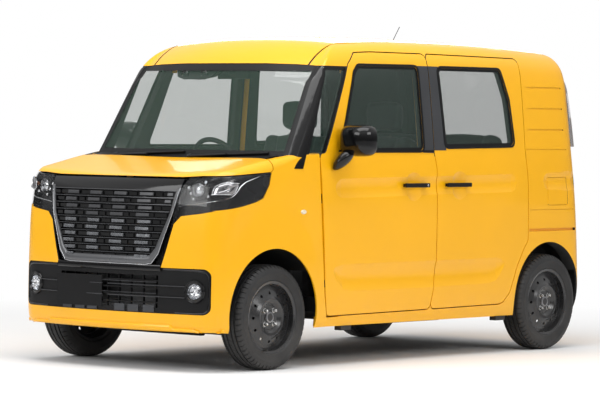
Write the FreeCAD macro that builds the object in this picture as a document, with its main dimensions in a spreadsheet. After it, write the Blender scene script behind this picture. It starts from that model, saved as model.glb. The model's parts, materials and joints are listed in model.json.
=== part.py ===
import FreeCAD, Part
import math
import os
from FreeCAD import Placement, Rotation, Vector

doc = FreeCAD.newDocument("kei_van")

# Driving sizes, in millimetres and degrees. The front faces -Y and the left side +X.
SIZES = [
    ("overall_length", 3395, "bumper to bumper"),
    ("overall_width", 1475, "over the side panels"),
    ("overall_height", 1790, "ground to the crown of the roof"),
    ("wheelbase", 2460, "front axle to rear axle"),
    ("front_overhang", 526, "nose to front axle"),
    ("wheel_track", 1294, "between the middles of the tyres"),
    ("tyre_radius", 278.5, "outer radius of a tyre"),
    ("tyre_width", 157, "width of a tyre"),
    ("rim_radius", 194, "outer radius of the rim flange"),
    ("rim_width", 132, "over the rim flanges"),
    ("rim_wall", 5, "thickness of the pressed steel of a wheel"),
    ("vent_radius", 8, "radius of the vent holes of a wheel"),
    ("vent_circle", 128, "radius of the circle of vent holes"),
    ("hub_offset", 40, "middle of the tyre to the hub face"),
    ("hub_bore", 27, "radius of the bore of a wheel"),
    ("hub_spigot", 14, "how far a hub reaches through the wheel"),
    ("arch_radius", 345, "radius of a wheel arch"),
    ("arch_rise", 18, "arch centre above the axle"),
    ("rear_arch_radius", 332, "wheel opening of a rear wheel"),
    ("band_depth", 8, "depth of the pressed band at the door handles"),
    ("hollow_depth", 12, "depth of the hollow along the foot of the doors"),
    ("scoop_step", 160, "longest stretch between two sections of a pressing"),
    ("bowl_radius", 80, "half of the width of the bowl behind a door handle"),
    ("bowl_depth", 18, "depth of the bowl behind a door handle"),
    ("groove_width", 3, "width of a shallow seam in the body side"),
    ("groove_depth", 4, "depth of a shallow seam in the body side"),
    ("slot_height", 16, "height of the sliding door's rail slot"),
    ("slot_depth", 16, "depth of the sliding door's rail slot"),
    ("rib_height", 9, "height of a rib groove in the rear quarter"),
    ("arch_shift", 0, "rear arch centre ahead of the axle"),
    ("arch_lip", 12, "body edge between the rear arch and the door"),
    ("sill_height", 212, "lower edge of the side panels"),
    ("bumper_height", 195, "lower edge of the front bumper"),
    ("door_thickness", 40, "skin to inner face of a door"),
    ("wall_thickness", 48, "skin to inner face of a side wall"),
    ("roof_thickness", 26, "skin to inner face of the roof"),
    ("nose_thickness", 9, "thickness of the front panels"),
    ("bumper_wall", 12, "thickness of the rear bumper"),
    ("glass_thickness", 5, "thickness of the windows"),
    ("glass_setback", 3, "skin to outer face of a window"),
    ("frame_depth", 38, "depth of the door frames of the body"),
    ("frame_flange", 42, "width of the door frames inside the door's edge"),
    ("panel_gap", 6, "gap between neighbouring panels"),
    ("tailgate_gap", 10, "gap between the roof and the tailgate"),
    ("seal_gap", 6, "gap between a door and the frame behind it"),
    ("clearance", 0.3, "gap of a seated piece"),
    ("overrun", 400, "how far a cutting tool runs past"),
    ("deep_cut", 300, "middle of the car to the start of a side cut"),
    ("corner_round", 30, "rounding of the corners of doors and windows"),
    ("latch_width", 24, "width of a door's latch block"),
    ("latch_height", 60, "height of a door's latch block"),
    ("ditch_half", 6, "half width of the channel beside the roof"),
    ("moulding_setback", 5, "skin to the strip in the channel"),
    ("roof_front_round", 185, "rounding of the roof above the windscreen"),
    ("roof_side_round", 112, "rounding of the roof along the sides"),
    ("roof_rear_round", 125, "rounding of the roof above the tailgate"),
    ("roof_front_fall", 38, "fall of the roof towards the front"),
    ("roof_rear_fall", 30, "fall of the roof towards the rear"),
    ("roof_side_fall", 34, "fall of the roof towards the sides"),
    ("front_bow", 75, "bow of the windscreen in plan"),
    ("rear_bow", 22, "bow of the tail in plan"),
    ("nose_bow", 90, "bow of the nose in plan"),
    ("bow_half", 700, "half width over which a bow is measured"),
    ("rear_taper", 15, "narrowing of the cabin towards the tail"),
    ("nose_taper", 9, "narrowing of the nose"),
    ("pillar_round", 75, "rounding of the windscreen pillars in plan"),
    ("least_round", 25, "smallest rounding of a skin in plan"),
    ("nose_corner_round", 135, "rounding of the bumper corners in plan"),
    ("nose_rear_round", 45, "rounding of the hidden rear of the nose"),
    ("nose_front_round", 55, "rounding between the grille and the bonnet"),
    ("wing_top_round", 60, "rounding between the bonnet and a wing"),
    ("wing_rear_round", 20, "rounding of a wing's top at the windscreen"),
    ("wing_flare", 11, "flare of a front wing over the wheel"),
    ("flare_reach", 100, "reach of the flare beyond the arch"),
    ("bonnet_dish", 8, "dip of the bonnet along the middle"),
    ("hinge_radius", 9, "radius of a door hinge barrel"),
    ("hinge_length", 50, "length of a door hinge barrel"),
    ("hinge_inset", 17, "skin to hinge axis"),
    ("hinge_post_width", 36, "width of a door hinge post"),
    ("hinge_post_depth", 90, "depth of a door hinge post along the car"),
    ("bonnet_pin_radius", 5, "radius of a bonnet hinge pin"),
    ("bonnet_eye_radius", 10, "radius of the eye of a bonnet arm"),
    ("bonnet_arm_width", 14, "width of a bonnet arm"),
    ("bonnet_arm_inset", 648, "middle of the car to a bonnet arm"),
    ("bonnet_bracket", 16, "width of a bonnet hinge bracket"),
    ("wing_inner_edge", 664, "middle of the car to the inner edge of a wing"),
    ("bonnet_latch_width", 40, "width of the bonnet's striker"),
    ("tailgate_hinge_radius", 7, "radius of a tailgate hinge barrel"),
    ("tailgate_hinge_length", 40, "length of a tailgate hinge barrel"),
    ("tailgate_hinge_inset", 300, "middle of the car to a tailgate hinge"),
    ("tailgate_hinge_drop", 58, "crown of the roof down to the tailgate's axis"),
    ("tailgate_hinge_back", 10, "front edge of the tailgate to its axis"),
    ("lens_thickness", 5, "thickness of a headlamp lens"),
    ("lamp_depth", 45, "skin to the back of a headlamp"),
    ("grille_setback", 24, "skin to the back plate of the grille"),
    ("grille_trim", 20, "width of the grille's frame"),
    ("grille_top", 1003, "ground to the top edge of the grille"),
    ("block_depth", 6, "how far the grille's blocks stand proud"),
    ("lower_corner", 42, "rounding of the lower grille panel"),
    ("fog_lamp_radius", 42, "radius of a fog lamp"),
    ("repeater_radius", 17, "radius of a side repeater"),
    ("floor_thickness", 12, "thickness of the floor"),
    ("tail_beam_depth", 78, "depth of the beam under the tailgate"),
    ("front_liner_inset", 394, "middle of the car to the wall of a front liner"),
    ("rear_liner_inset", 545, "middle of the car to the wall of a rear liner"),
    ("rail_inner", 330, "middle of the car to the inside of a frame rail"),
    ("rail_width", 62, "width of a frame rail"),
    ("rail_height", 80, "height of a frame rail"),
    ("rail_level", 385, "ground to the underside of a frame rail"),
    ("beam_depth", 45, "depth of the cross beam of the frame"),
    ("beam_half", 520, "half length of the cross beam"),
    ("post_width", 40, "width of a radiator post"),
    ("lock_bar_level", 950, "ground to the underside of the bonnet lock bar"),
    ("lock_bar_height", 35, "height of the bonnet lock bar"),
    ("tower_half", 75, "half width of a strut tower"),
    ("tower_level", 840, "ground to the top of a strut tower"),
    ("towing_plate", 12, "thickness of the towing eye's plate"),
    ("towing_bore", 14, "radius of the towing eye's bore"),
    ("towing_drop", 33, "frame rail down to the towing eye"),
    ("engine_half", 270, "half width of the engine"),
    ("engine_depth", 375, "depth of the engine along the car"),
    ("engine_height", 470, "height of the engine"),
    ("engine_level", 235, "ground to the underside of the engine"),
    ("radiator_depth", 38, "thickness of the radiator"),
    ("link_radius", 18, "radius of the axle tubes and links"),
    ("member_level", 165, "ground to the underside of the front cross member"),
    ("member_height", 55, "height of the front cross member"),
    ("member_depth", 110, "depth of the front cross member"),
    ("kingpin_inset", 600, "middle of the car to the steering axis of a wheel"),
    ("kingpin_below", 100, "axle down to the lower ball joint"),
    ("kingpin_above", 112, "axle up to the upper joint"),
    ("strut_inset", 512, "middle of the car to a strut"),
    ("spring_radius", 55, "radius of a front spring"),
    ("spring_height", 230, "height of a front spring"),
    ("hub_barrel_radius", 58, "radius of a hub barrel"),
    ("brake_disc_radius", 112, "radius of a brake disc"),
    ("brake_disc_thickness", 12, "thickness of a brake disc"),
    ("brake_disc_setback", 18, "hub face to the brake disc"),
    ("steering_arm", 105, "length of a steering arm"),
    ("drum_radius", 104, "radius of a rear brake drum"),
    ("drum_depth", 75, "depth of a rear brake drum"),
    ("axle_tube_radius", 25, "radius of the rear axle tube"),
    ("trailing_arm_inset", 430, "middle of the car to a trailing arm"),
    ("rear_spring_radius", 50, "radius of a rear spring"),
    ("damper_inset", 330, "middle of the car to a rear damper"),
    ("damper_radius", 20, "radius of a rear damper"),
    ("tank_width", 860, "width of the fuel tank"),
    ("tank_length", 560, "length of the fuel tank"),
    ("tank_level", 185, "ground to the underside of the fuel tank"),
    ("tank_round", 28, "rounding of the fuel tank"),
    ("pipe_radius", 22, "radius of the exhaust pipe"),
    ("pipe_bend_radius", 55, "middle of a bend in the exhaust pipe to its middle line"),
    ("pipe_level", 190, "ground to the middle of the exhaust pipe"),
    ("silencer_radius", 55, "radius of the silencer"),
    ("silencer_length", 340, "length of the silencer"),
    ("hanger_radius", 7, "radius of the exhaust hangers"),
    ("mirror_width", 192, "width of a mirror housing"),
    ("mirror_depth", 105, "depth of a mirror housing"),
    ("mirror_height", 166, "height of a mirror housing"),
    ("mirror_round", 32, "rounding of a mirror housing"),
    ("mirror_arm_radius", 20, "radius of a mirror arm"),
    ("handle_height", 24, "height of a door handle"),
    ("handle_depth", 13, "depth of a door handle"),
    ("handle_reach", 12, "widest side to the back of a handle"),
    ("front_handle_length", 215, "length of a front door handle"),
    ("rear_handle_length", 219, "length of a sliding door handle"),
    ("dash_round", 30, "rounding of the dashboard"),
    ("column_radius", 30, "radius of the steering column"),
    ("column_length", 420, "length of the steering column"),
    ("steer_wheel_radius", 182, "radius of the steering wheel"),
    ("steer_grip_radius", 14, "radius of its grip"),
    ("steer_hub_radius", 62, "radius of its hub"),
    ("steer_hub_depth", 50, "depth of its hub"),
    ("seat_inset", 315, "middle of the car to the middle of a front seat"),
    ("seat_width", 480, "width of a front seat cushion"),
    ("seat_back_width", 460, "width of a front seat back"),
    ("seat_back_height", 560, "height of a front seat back"),
    ("seat_back_depth", 115, "thickness of a front seat back"),
    ("seat_base_width", 380, "width of a front seat base"),
    ("cushion_height", 130, "thickness of a seat cushion"),
    ("cushion_round", 38, "rounding of a cushion"),
    ("headrest_width", 240, "width of a headrest"),
    ("headrest_height", 165, "height of a headrest"),
    ("headrest_depth", 85, "thickness of a headrest"),
    ("headrest_gap", 25, "seat back to headrest"),
    ("headrest_rod_radius", 6, "radius of a headrest rod"),
    ("bench_width", 1060, "width of the rear seat"),
    ("bench_back_height", 520, "height of the rear seat's back"),
    ("bench_back_depth", 100, "thickness of the rear seat's back"),
    ("bench_base_width", 960, "width of the rear seat's base"),
    ("bench_base_height", 80, "height of the rear seat's base"),
    ("antenna_length", 185, "length of the antenna"),
    ("antenna_radius", 2, "radius of the antenna"),
    ("antenna_foot_radius", 12, "radius of the antenna's foot"),
    ("cabin_mirror_width", 220, "width of the mirror in the cabin"),
    ("cabin_mirror_height", 62, "height of the mirror in the cabin"),
    ("cabin_mirror_depth", 25, "depth of the mirror in the cabin"),
    ("plate_width", 330, "width of the number plate"),
    ("plate_height", 165, "height of the number plate"),
    ("plate_thickness", 2, "thickness of the number plate"),
    ("plate_post_width", 24, "width of the posts behind the number plate"),
    ("jack_pad_length", 86, "length of a jacking pad"),
    ("jack_pad_width", 44, "width of a jacking pad"),
    ("jack_pad_level", 187, "ground to the underside of a jacking pad"),
]
sheet = doc.addObject("Spreadsheet::Sheet", "sizes")
for row, (alias, value, note) in enumerate(SIZES, 1):
    sheet.set(f"A{row}", note)
    sheet.set(f"B{row}", str(value))
    sheet.setAlias(f"B{row}", alias)
doc.recompute()


class SheetSizes:
    """sizes of the sheet, read by name"""

    def __getattr__(self, alias):
        return float(getattr(sheet, alias))


dim = SheetSizes()
length = dim.overall_length
width = dim.overall_width
height = dim.overall_height
gap = dim.panel_gap
clear = dim.clearance
overrun = dim.overrun
least = clear / 10
front_axle_y = -length / 2 + dim.front_overhang
rear_axle_y = front_axle_y + dim.wheelbase
axle_z = dim.tyre_radius
arch_radius = dim.arch_radius
rear_arch_radius = dim.rear_arch_radius
arch_z = axle_z + dim.arch_rise
rear_arch_y = rear_axle_y - dim.arch_shift
wheel_x = dim.wheel_track / 2
pieces = {}


# Helpers: points, faces and prisms

def y_at(share):
    return share * length


def z_at(share):
    return share * height


def x_at(share):
    return share * width


def smooth(value):
    value = max(0.0, min(1.0, value))
    return value * value * (3 - 2 * value)


def along(rows, place):
    """row of a table at a place given by its first column"""
    for low, high in zip(rows, rows[1:]):
        if place <= high[0]:
            break
    part = (place - low[0]) / (high[0] - low[0])
    return [a + (b - a) * part for a, b in zip(low, high)]


def offset_points(points, distance):
    """closed outline moved outwards by a distance"""
    area = sum(a[0] * b[1] - b[0] * a[1] for a, b in zip(points, points[1:] + points[:1]))
    turn = 1 if area > 0 else -1
    lines = []
    for a, b in zip(points, points[1:] + points[:1]):
        run = math.hypot(b[0] - a[0], b[1] - a[1])
        out = (turn * (b[1] - a[1]) / run, -turn * (b[0] - a[0]) / run)
        start = (a[0] + out[0] * distance, a[1] + out[1] * distance)
        lines.append((start, ((b[0] - a[0]) / run, (b[1] - a[1]) / run)))
    moved = []
    for (p, d), (q, e) in zip(lines[-1:] + lines[:-1], lines):
        cross = d[0] * e[1] - d[1] * e[0]
        step = ((q[0] - p[0]) * e[1] - (q[1] - p[1]) * e[0]) / cross
        moved.append((p[0] + d[0] * step, p[1] + d[1] * step))
    return moved


def rounded_face(points, radius, place):
    """flat face from an outline; place turns an outline point into a vector"""
    count = len(points)
    starts = []
    ends = []
    middles = []
    for i, corner in enumerate(points):
        back = Vector(points[i - 1][0] - corner[0], points[i - 1][1] - corner[1], 0)
        ahead = points[(i + 1) % count]
        ahead = Vector(ahead[0] - corner[0], ahead[1] - corner[1], 0)
        half = back.getAngle(ahead) / 2
        reach = min(back.Length, ahead.Length) * ROUND_REACH_SHARE
        used = min(radius, reach * math.tan(half))
        here = Vector(corner[0], corner[1], 0)
        if used < clear or half > math.radians(STRAIGHT_DEGREES):
            starts.append(here)
            ends.append(here)
            middles.append(None)
            continue
        run = used / math.tan(half)
        back.normalize()
        ahead.normalize()
        inward = (back + ahead).normalize()
        starts.append(here + back * run)
        ends.append(here + ahead * run)
        middles.append(here + inward * (used / math.sin(half) - used))
    edges = []
    for i in range(count):
        if middles[i]:
            arc = [place(p.x, p.y) for p in (starts[i], middles[i], ends[i])]
            edges.append(Part.Arc(*arc).toShape())
        first = place(ends[i].x, ends[i].y)
        last = place(starts[(i + 1) % count].x, starts[(i + 1) % count].y)
        if (last - first).Length > least:
            edges.append(Part.makeLine(first, last))
    return Part.Face(Part.Wire(edges))


ROUND_REACH_SHARE = 0.48
STRAIGHT_DEGREES = 88


def side_prism(points, x_from, x_to, radius=0):
    """outline in (y, z), run along X"""
    face = rounded_face(points, radius, lambda y, z: Vector(x_from, y, z))
    return face.extrude(Vector(x_to - x_from, 0, 0))


def front_prism(points, y_from, y_to, radius=0):
    """outline in (x, z), run along Y"""
    face = rounded_face(points, radius, lambda x, z: Vector(x, y_from, z))
    return face.extrude(Vector(0, y_to - y_from, 0))


def top_prism(points, z_from, z_to, radius=0):
    """outline in (x, y), run along Z"""
    face = rounded_face(points, radius, lambda x, y: Vector(x, y, z_from))
    return face.extrude(Vector(0, 0, z_to - z_from))


def box(x_from, x_to, y_from, y_to, z_from, z_to):
    corner = Vector(x_from, y_from, z_from)
    return Part.makeBox(x_to - x_from, y_to - y_from, z_to - z_from, corner)


def rod(start, end, radius):
    run = end - start
    return Part.makeCylinder(radius, run.Length, start, run)


def across(radius, y, z, x_from, x_to):
    """cylinder along X"""
    return rod(Vector(x_from, y, z), Vector(x_to, y, z), radius)


def mirrored(shape):
    return shape.mirror(Vector(0, 0, 0), Vector(1, 0, 0))


def both_sides(shape):
    return shape.Solids + mirrored(shape).Solids


def largest(shape):
    return max(shape.Solids, key=lambda solid: solid.Volume)


def side_points(shares):
    return [(y_at(y), z_at(z)) for y, z in shares]


def front_points(shares):
    return [(x_at(x), z_at(z)) for x, z in shares]


def symmetric(points):
    return points + [(-x, other) for x, other in reversed(points)]


def add(name, solids):
    """a sub-part whose shape is a list of solids"""
    solids = solids.Solids if hasattr(solids, "Solids") else solids
    feature = doc.addObject("Part::Feature", name)
    feature.Label = name
    feature.Shape = solids[0] if len(solids) == 1 else Part.makeCompound(solids)
    feature.Placement = Placement(Vector(0, 0, 0), Rotation())
    pieces[name] = feature
    return feature


# Body surfaces: closed rings of poles, stacked into one smooth skin.
# Rows of shares: height, half width, front middle, rear middle, rear corner radius.
CABIN_ROW_SHARES = [
    (0.1061, 0.4746, -0.3461, 0.4831, 0.0678),
    (0.1453, 0.4922, -0.3461, 0.4984, 0.078),
    (0.2235, 0.4963, -0.3461, 0.4999, 0.0881),
    (0.3911, 0.4997, -0.3461, 0.4984, 0.1085),
    (0.5307, 0.4986, -0.3461, 0.4966, 0.1288),
    (0.5922, 0.4959, -0.3417, 0.4948, 0.139),
    (0.6369, 0.4922, -0.3243, 0.4925, 0.139),
    (0.7263, 0.4834, -0.2954, 0.4866, 0.1288),
    (0.805, 0.4732, -0.2701, 0.4795, 0.1119),
    (0.8939, 0.4624, -0.2415, 0.4701, 0.0847),
    (0.9497, 0.4529, -0.2236, 0.4639, 0.0746),
]
CABIN_LEVEL_SHARES = (0.1061, 0.1285, 0.1676, 0.2235, 0.2905, 0.3575, 0.4246, 0.4916, 0.5587, 0.6089, 0.648, 0.6983, 0.7542, 0.8101, 0.8603)
# Rows of shares: height, half width, front middle.
NOSE_ROW_SHARES = [
    (0.1061, 0.4746, -0.489),
    (0.1184, 0.4895, -0.4984),
    (0.162, 0.4936, -0.4999),
    (0.2235, 0.4949, -0.4999),
    (0.3017, 0.4969, -0.499),
    (0.3911, 0.4976, -0.4975),
    (0.4553, 0.4976, -0.4954),
    (0.5196, 0.4969, -0.4901),
    (0.5922, 0.4956, -0.4766),
    (0.648, 0.4915, -0.4713),
]
NOSE_LEVEL_SHARES = (0.1061, 0.1201, 0.1453, 0.1788, 0.2179, 0.257, 0.2961, 0.3352, 0.3743, 0.4134, 0.4525, 0.4916, 0.5251)
# Bonnet line: place along the car, height.
BONNET_LINE_SHARES = [
    (-0.5184, 0.5503),
    (-0.4831, 0.5693),
    (-0.4595, 0.5793),
    (-0.4124, 0.5972),
    (-0.3505, 0.6207),
    (-0.3093, 0.6318),
    (-0.276, 0.638),
    (-0.2356, 0.6397),
    (-0.1649, 0.6425),
]
# Falls of the roof: where each starts and the run over which it is measured.
ROOF_FRONT_FALL_SHARES = (0.0295, 0.2433)
ROOF_REAR_FALL_SHARES = (0.0884, 0.324)
ROOF_SIDE_FALL_SHARE = 0.4068
ROOF_SIDE_POWER = 2.2
# Places where the rounding of the roof meets the walls: front, side, rear.
ROOF_EDGE_SHARES = (-0.2356, 0.4068, 0.4418)
ROOF_SIDE_PLACE_SHARE = 0.0295
TAPER_SHARES = (0.2062, 0.2946)
NOSE_TAPER_SHARES = (-0.3387, 0.0972)
NOSE_END_SHARE = -0.1885
NOSE_EDGE_SHARES = (-0.4831, 0.3797, -0.3829)
WING_ROUND_SHARES = (-0.2651, 0.0854)
DISH_SHARE = 0.339
INSET_ROUND_SHARE = 0.7
FLARE_BASE_SHARE = 0.5
ROUNDING_DEGREES = (0, 22, 45, 68, 90)
CORNER_DEGREES = (90, 68, 45, 22, 0)
CROWN_SHARES = (0.85, 0.6, 0.3, 0.1)
CROWN_TIP_SHARE = 0.02
CENTRE_PARTS = 5
SIDE_PARTS = 14
RING_PASSES = 6


def skin_solid(rows):
    """solid inside a smooth skin whose rings of poles are the rows"""
    ring_count = len(rows)
    pole_count = len(rows[0])
    surface = Part.BSplineSurface()
    poles = [[row[i] for row in rows] for i in range(pole_count)]
    around = list(range(pole_count + 1))
    upwards = list(range(ring_count - 2))
    clamped = [4] + [1] * (ring_count - 4) + [4]
    surface.buildFromPolesMultsKnots(
        poles, [1] * (pole_count + 1), clamped, around, upwards, True, False, 3, 3
    )
    skin = surface.toShape()
    rims = [edge for edge in skin.Edges if edge.BoundBox.ZLength < least]
    shell = Part.Shell([skin] + [Part.Face(Part.Wire([edge])) for edge in rims])
    shell.sewShape()
    solid = Part.Solid(shell)
    if solid.Volume < 0:
        solid.reverse()
    return solid


def plan_ring(half, front, rear, bows, radii, inset, taper, pulls):
    """poles of one ring, from the front middle along the left side to the rear middle"""
    bow_front, bow_rear = bows
    pull_front, pull_side, pull_rear = pulls

    def front_at(x):
        return front + bow_front * (x / dim.bow_half) ** 2 + pull_front + inset

    def rear_at(x):
        return rear - bow_rear * (x / dim.bow_half) ** 2 - pull_rear - inset

    def side_at(y):
        return half - taper(y) - pull_side - inset

    front_round = max(radii[0] - max(pull_front, pull_side) - inset, dim.least_round)
    rear_round = max(radii[1] - max(pull_rear, pull_side) - inset, dim.least_round)
    front_y = front
    rear_y = rear
    for _ in range(RING_PASSES):
        front_x = side_at(front_y) - front_round
        front_y = front_at(front_x) + front_round
        rear_x = side_at(rear_y) - rear_round
        rear_y = rear_at(rear_x) - rear_round
    poles = []
    for i in range(CENTRE_PARTS):
        x = front_x * i / CENTRE_PARTS
        poles.append((x, front_at(x), 1.0))
    for degrees in CORNER_DEGREES:
        turn = math.radians(degrees)
        x = front_x + front_round * math.cos(turn)
        poles.append((x, front_y - front_round * math.sin(turn), math.sin(turn) ** 2))
    for i in range(1, SIDE_PARTS):
        y = front_y + (rear_y - front_y) * i / SIDE_PARTS
        poles.append((side_at(y), y, 0.0))
    for degrees in reversed(CORNER_DEGREES):
        turn = math.radians(degrees)
        x = rear_x + rear_round * math.cos(turn)
        poles.append((x, rear_y + rear_round * math.sin(turn), -math.sin(turn) ** 2))
    for i in range(CENTRE_PARTS - 1, -1, -1):
        x = rear_x * i / CENTRE_PARTS
        poles.append((x, rear_at(x), -1.0))
    return poles + [(-x, y, w) for x, y, w in reversed(poles[1:-1])]


def close_crown(rows, top_at):
    """smaller and smaller rings that follow the top"""
    last = rows[-1]
    middle = sum(p.y for p in last) / len(last)
    for share in CROWN_SHARES:
        ring = [(p.x * share, middle + (p.y - middle) * share) for p in last]
        rows.append([Vector(x, y, top_at(x, y)) for x, y in ring])
    ring = [(p.x * CROWN_TIP_SHARE, middle + (p.y - middle) * CROWN_TIP_SHARE) for p in last]
    rows.append([Vector(x, y, top_at(0, middle)) for x, y in ring])
    return rows


def fall_along(y, shares, fall):
    """fall of the roof past its start, growing with the square of the distance"""
    start, run = [y_at(share) for share in shares]
    return fall * max(0.0, y - start) ** 2 / run ** 2


def roof_at(x, y):
    """height of the roof's skin"""
    start, run = [y_at(share) for share in ROOF_FRONT_FALL_SHARES]
    front_fall = dim.roof_front_fall * max(0.0, (start - y) / run) ** 2
    rear_fall = fall_along(y, ROOF_REAR_FALL_SHARES, dim.roof_rear_fall)
    side_fall = dim.roof_side_fall * (abs(x) / x_at(ROOF_SIDE_FALL_SHARE)) ** ROOF_SIDE_POWER
    return height - front_fall - rear_fall - side_fall


def cabin_solid(inset, roof_inset=None, extra_low=0):
    """the cabin's outer form, moved inwards by an inset"""
    roof_inset = inset if roof_inset is None else roof_inset
    rounds = (dim.roof_front_round, dim.roof_side_round, dim.roof_rear_round)
    rounds = [max(r - INSET_ROUND_SHARE * inset, dim.least_round) for r in rounds]
    bows = (dim.front_bow, dim.rear_bow)
    table = [
        (z_at(a), x_at(b), y_at(c), y_at(d), x_at(e)) for a, b, c, d, e in CABIN_ROW_SHARES
    ]
    taper_start, taper_run = [y_at(share) for share in TAPER_SHARES]

    def taper(y):
        return dim.rear_taper * smooth((y - taper_start) / taper_run)

    def top_at(x, y):
        return roof_at(x, y) - roof_inset

    rows = []
    for level in [z_at(share) for share in CABIN_LEVEL_SHARES]:
        _, half, front, rear, corner = along(table, level)
        if not rows:
            level = level - extra_low
        radii = (dim.pillar_round, corner)
        ring = plan_ring(half, front, rear, bows, radii, inset, taper, (0, 0, 0))
        rows.append([Vector(x, y, level) for x, y, _ in ring])
    front_share, side_share, rear_share = ROOF_EDGE_SHARES
    side_place = (x_at(side_share), y_at(ROOF_SIDE_PLACE_SHARE))
    for degrees in ROUNDING_DEGREES:
        turn = math.radians(degrees)
        pull = 1 - math.cos(turn)
        drop = 1 - math.sin(turn)
        at_front = along(table, top_at(0, y_at(front_share)) - rounds[0] * drop)
        at_side = along(table, top_at(*side_place) - rounds[1] * drop)
        at_rear = along(table, top_at(0, y_at(rear_share)) - rounds[2] * drop)
        pulls = [r * pull for r in rounds]
        radii = (dim.pillar_round, at_rear[4])
        ring = plan_ring(at_side[1], at_front[2], at_rear[3], bows, radii, inset, taper, pulls)
        row = []
        for x, y, facing in ring:
            end = rounds[0] if facing > 0 else rounds[2]
            radius = rounds[1] + (end - rounds[1]) * abs(facing)
            row.append(Vector(x, y, top_at(x, y) - radius * drop))
        rows.append(row)
    return skin_solid(close_crown(rows, top_at))


def nose_solid(inset, extra_low=0):
    """the form of the bonnet, wings and bumper, moved inwards by an inset"""
    table = [(z_at(a), x_at(b), y_at(c)) for a, b, c in NOSE_ROW_SHARES]
    line = [(y_at(a), z_at(b)) for a, b in BONNET_LINE_SHARES]
    bows = (dim.nose_bow, 0.0)
    radii = (dim.nose_corner_round, dim.nose_rear_round)
    rear = y_at(NOSE_END_SHARE)
    front_round = dim.nose_front_round
    flare = dim.wing_flare
    base = flare * FLARE_BASE_SHARE
    taper_start, taper_run = [y_at(share) for share in NOSE_TAPER_SHARES]
    round_start, round_run = [y_at(share) for share in WING_ROUND_SHARES]
    front_share, side_share, side_place_share = NOSE_EDGE_SHARES

    def taper(y):
        return dim.nose_taper * smooth((taper_start - y) / taper_run)

    def top_at(x, y):
        dish = dim.bonnet_dish * max(0.0, 1 - (x / x_at(DISH_SHARE)) ** 2)
        return along(line, y)[1] - dish - inset

    def side_round(y):
        grown = dim.wing_top_round - dim.wing_rear_round
        return dim.wing_rear_round + grown * smooth((round_start - y) / round_run)

    def bulge(y, z):
        reach = math.hypot(y - front_axle_y, z - arch_z) - arch_radius
        return flare * math.exp(-((max(reach, 0) + dim.wing_rear_round) / dim.flare_reach) ** 2)

    rows = []
    for level in [z_at(share) for share in NOSE_LEVEL_SHARES]:
        _, half, front = along(table, level)
        if not rows:
            level = level - extra_low
        ring = plan_ring(half - flare, front, rear, bows, radii, inset, taper, (0, 0, 0))
        row = []
        for x, y, facing in ring:
            out = (bulge(y, level) + base) * (1 - abs(facing))
            row.append(Vector(x + math.copysign(out, x) if x else x, y, level))
        rows.append(row)
    for degrees in ROUNDING_DEGREES:
        turn = math.radians(degrees)
        pull = 1 - math.cos(turn)
        drop = 1 - math.sin(turn)
        at_front = along(table, top_at(0, y_at(front_share)) - front_round * drop)
        side_top = top_at(x_at(side_share), y_at(side_place_share))
        at_side = along(table, side_top - dim.wing_top_round * drop)
        pulls = (front_round * pull, 0, 0)
        ring = plan_ring(at_side[1] - base * drop, at_front[2], rear, bows, radii, inset, taper, pulls)
        row = []
        for x, y, facing in ring:
            radius = side_round(y)
            if facing > 0:
                radius = radius + (front_round - radius) * facing
            if facing > -FLARE_BASE_SHARE:
                sideways = side_round(y) * pull * (1 - max(facing, 0))
                x = math.copysign(abs(x) - sideways, x) if x else x
            row.append(Vector(x, y, top_at(x, y) - radius * drop))
        rows.append(row)
    return skin_solid(close_crown(rows, top_at))


below = dim.overrun / 4
cabin = cabin_solid(0)
cabin_for_doors = cabin_solid(dim.door_thickness, None, below)
cabin_for_walls = cabin_solid(dim.wall_thickness, dim.roof_thickness, below)
glass_inner = dim.glass_setback + dim.glass_thickness
cabin_glass = cabin_solid(dim.glass_setback).cut(cabin_solid(glass_inner, None, below))
nose = nose_solid(0)
nose_panel = nose.cut(nose_solid(dim.nose_thickness, below))
frame_outer = dim.door_thickness + dim.seal_gap
frame_inner = frame_outer + dim.frame_depth

# Seams, as the middle of each gap. Points are shares of the length and the height.
FRONT_DOOR_SHARES = [
    (-0.2165, 0.1497),
    (-0.223, 0.2123),
    (-0.2392, 0.638),
    (-0.225, 0.6397),
    (-0.2059, 0.7078),
    (-0.1538, 0.9084),
    (-0.1296, 0.9441),
    (-0.0884, 0.948),
    (0.0507, 0.948),
    (0.0536, 0.6425),
    (0.0601, 0.5922),
    (0.0601, 0.2626),
    (0.0471, 0.1536),
]
SLIDING_DOOR_SHARES = [
    (0.0471, 0.1536),
    (0.0601, 0.2626),
    (0.0601, 0.5922),
    (0.0536, 0.6425),
    (0.0507, 0.948),
    (0.3078, 0.9441),
    (0.3078, 0.6503),
    (0.3143, 0.5531),
    (0.3158, 0.3911),
    (0.3158, 0.3575),
    (0.3034, 0.3296),
    (0.2857, 0.2765),
    (0.2666, 0.1927),
    (0.2489, 0.162),
    (0.2371, 0.157),
]
FRONT_WINDOW_SHARES = [
    (-0.1885, 0.6469),
    (-0.1688, 0.7385),
    (-0.1408, 0.8827),
    (-0.1296, 0.9034),
    (0.0224, 0.9056),
    (0.0259, 0.648),
]
SLIDING_WINDOW_SHARES = [
    (0.0854, 0.6592),
    (0.0772, 0.9045),
    (0.2474, 0.905),
    (0.2666, 0.8101),
    (0.2754, 0.6648),
]
QUARTER_WINDOW_SHARES = [
    (-0.2781, 0.6034),
    (-0.2127, 0.9011),
    (-0.1558, 0.9011),
    (-0.2059, 0.7078),
    (-0.225, 0.6397),
    (-0.2356, 0.6034),
]
WINDSCREEN_SHARES = [
    (0.4692, 0.619),
    (0.4298, 0.9006),
    (0.339, 0.905),
    (0.2034, 0.9078),
]
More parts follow.
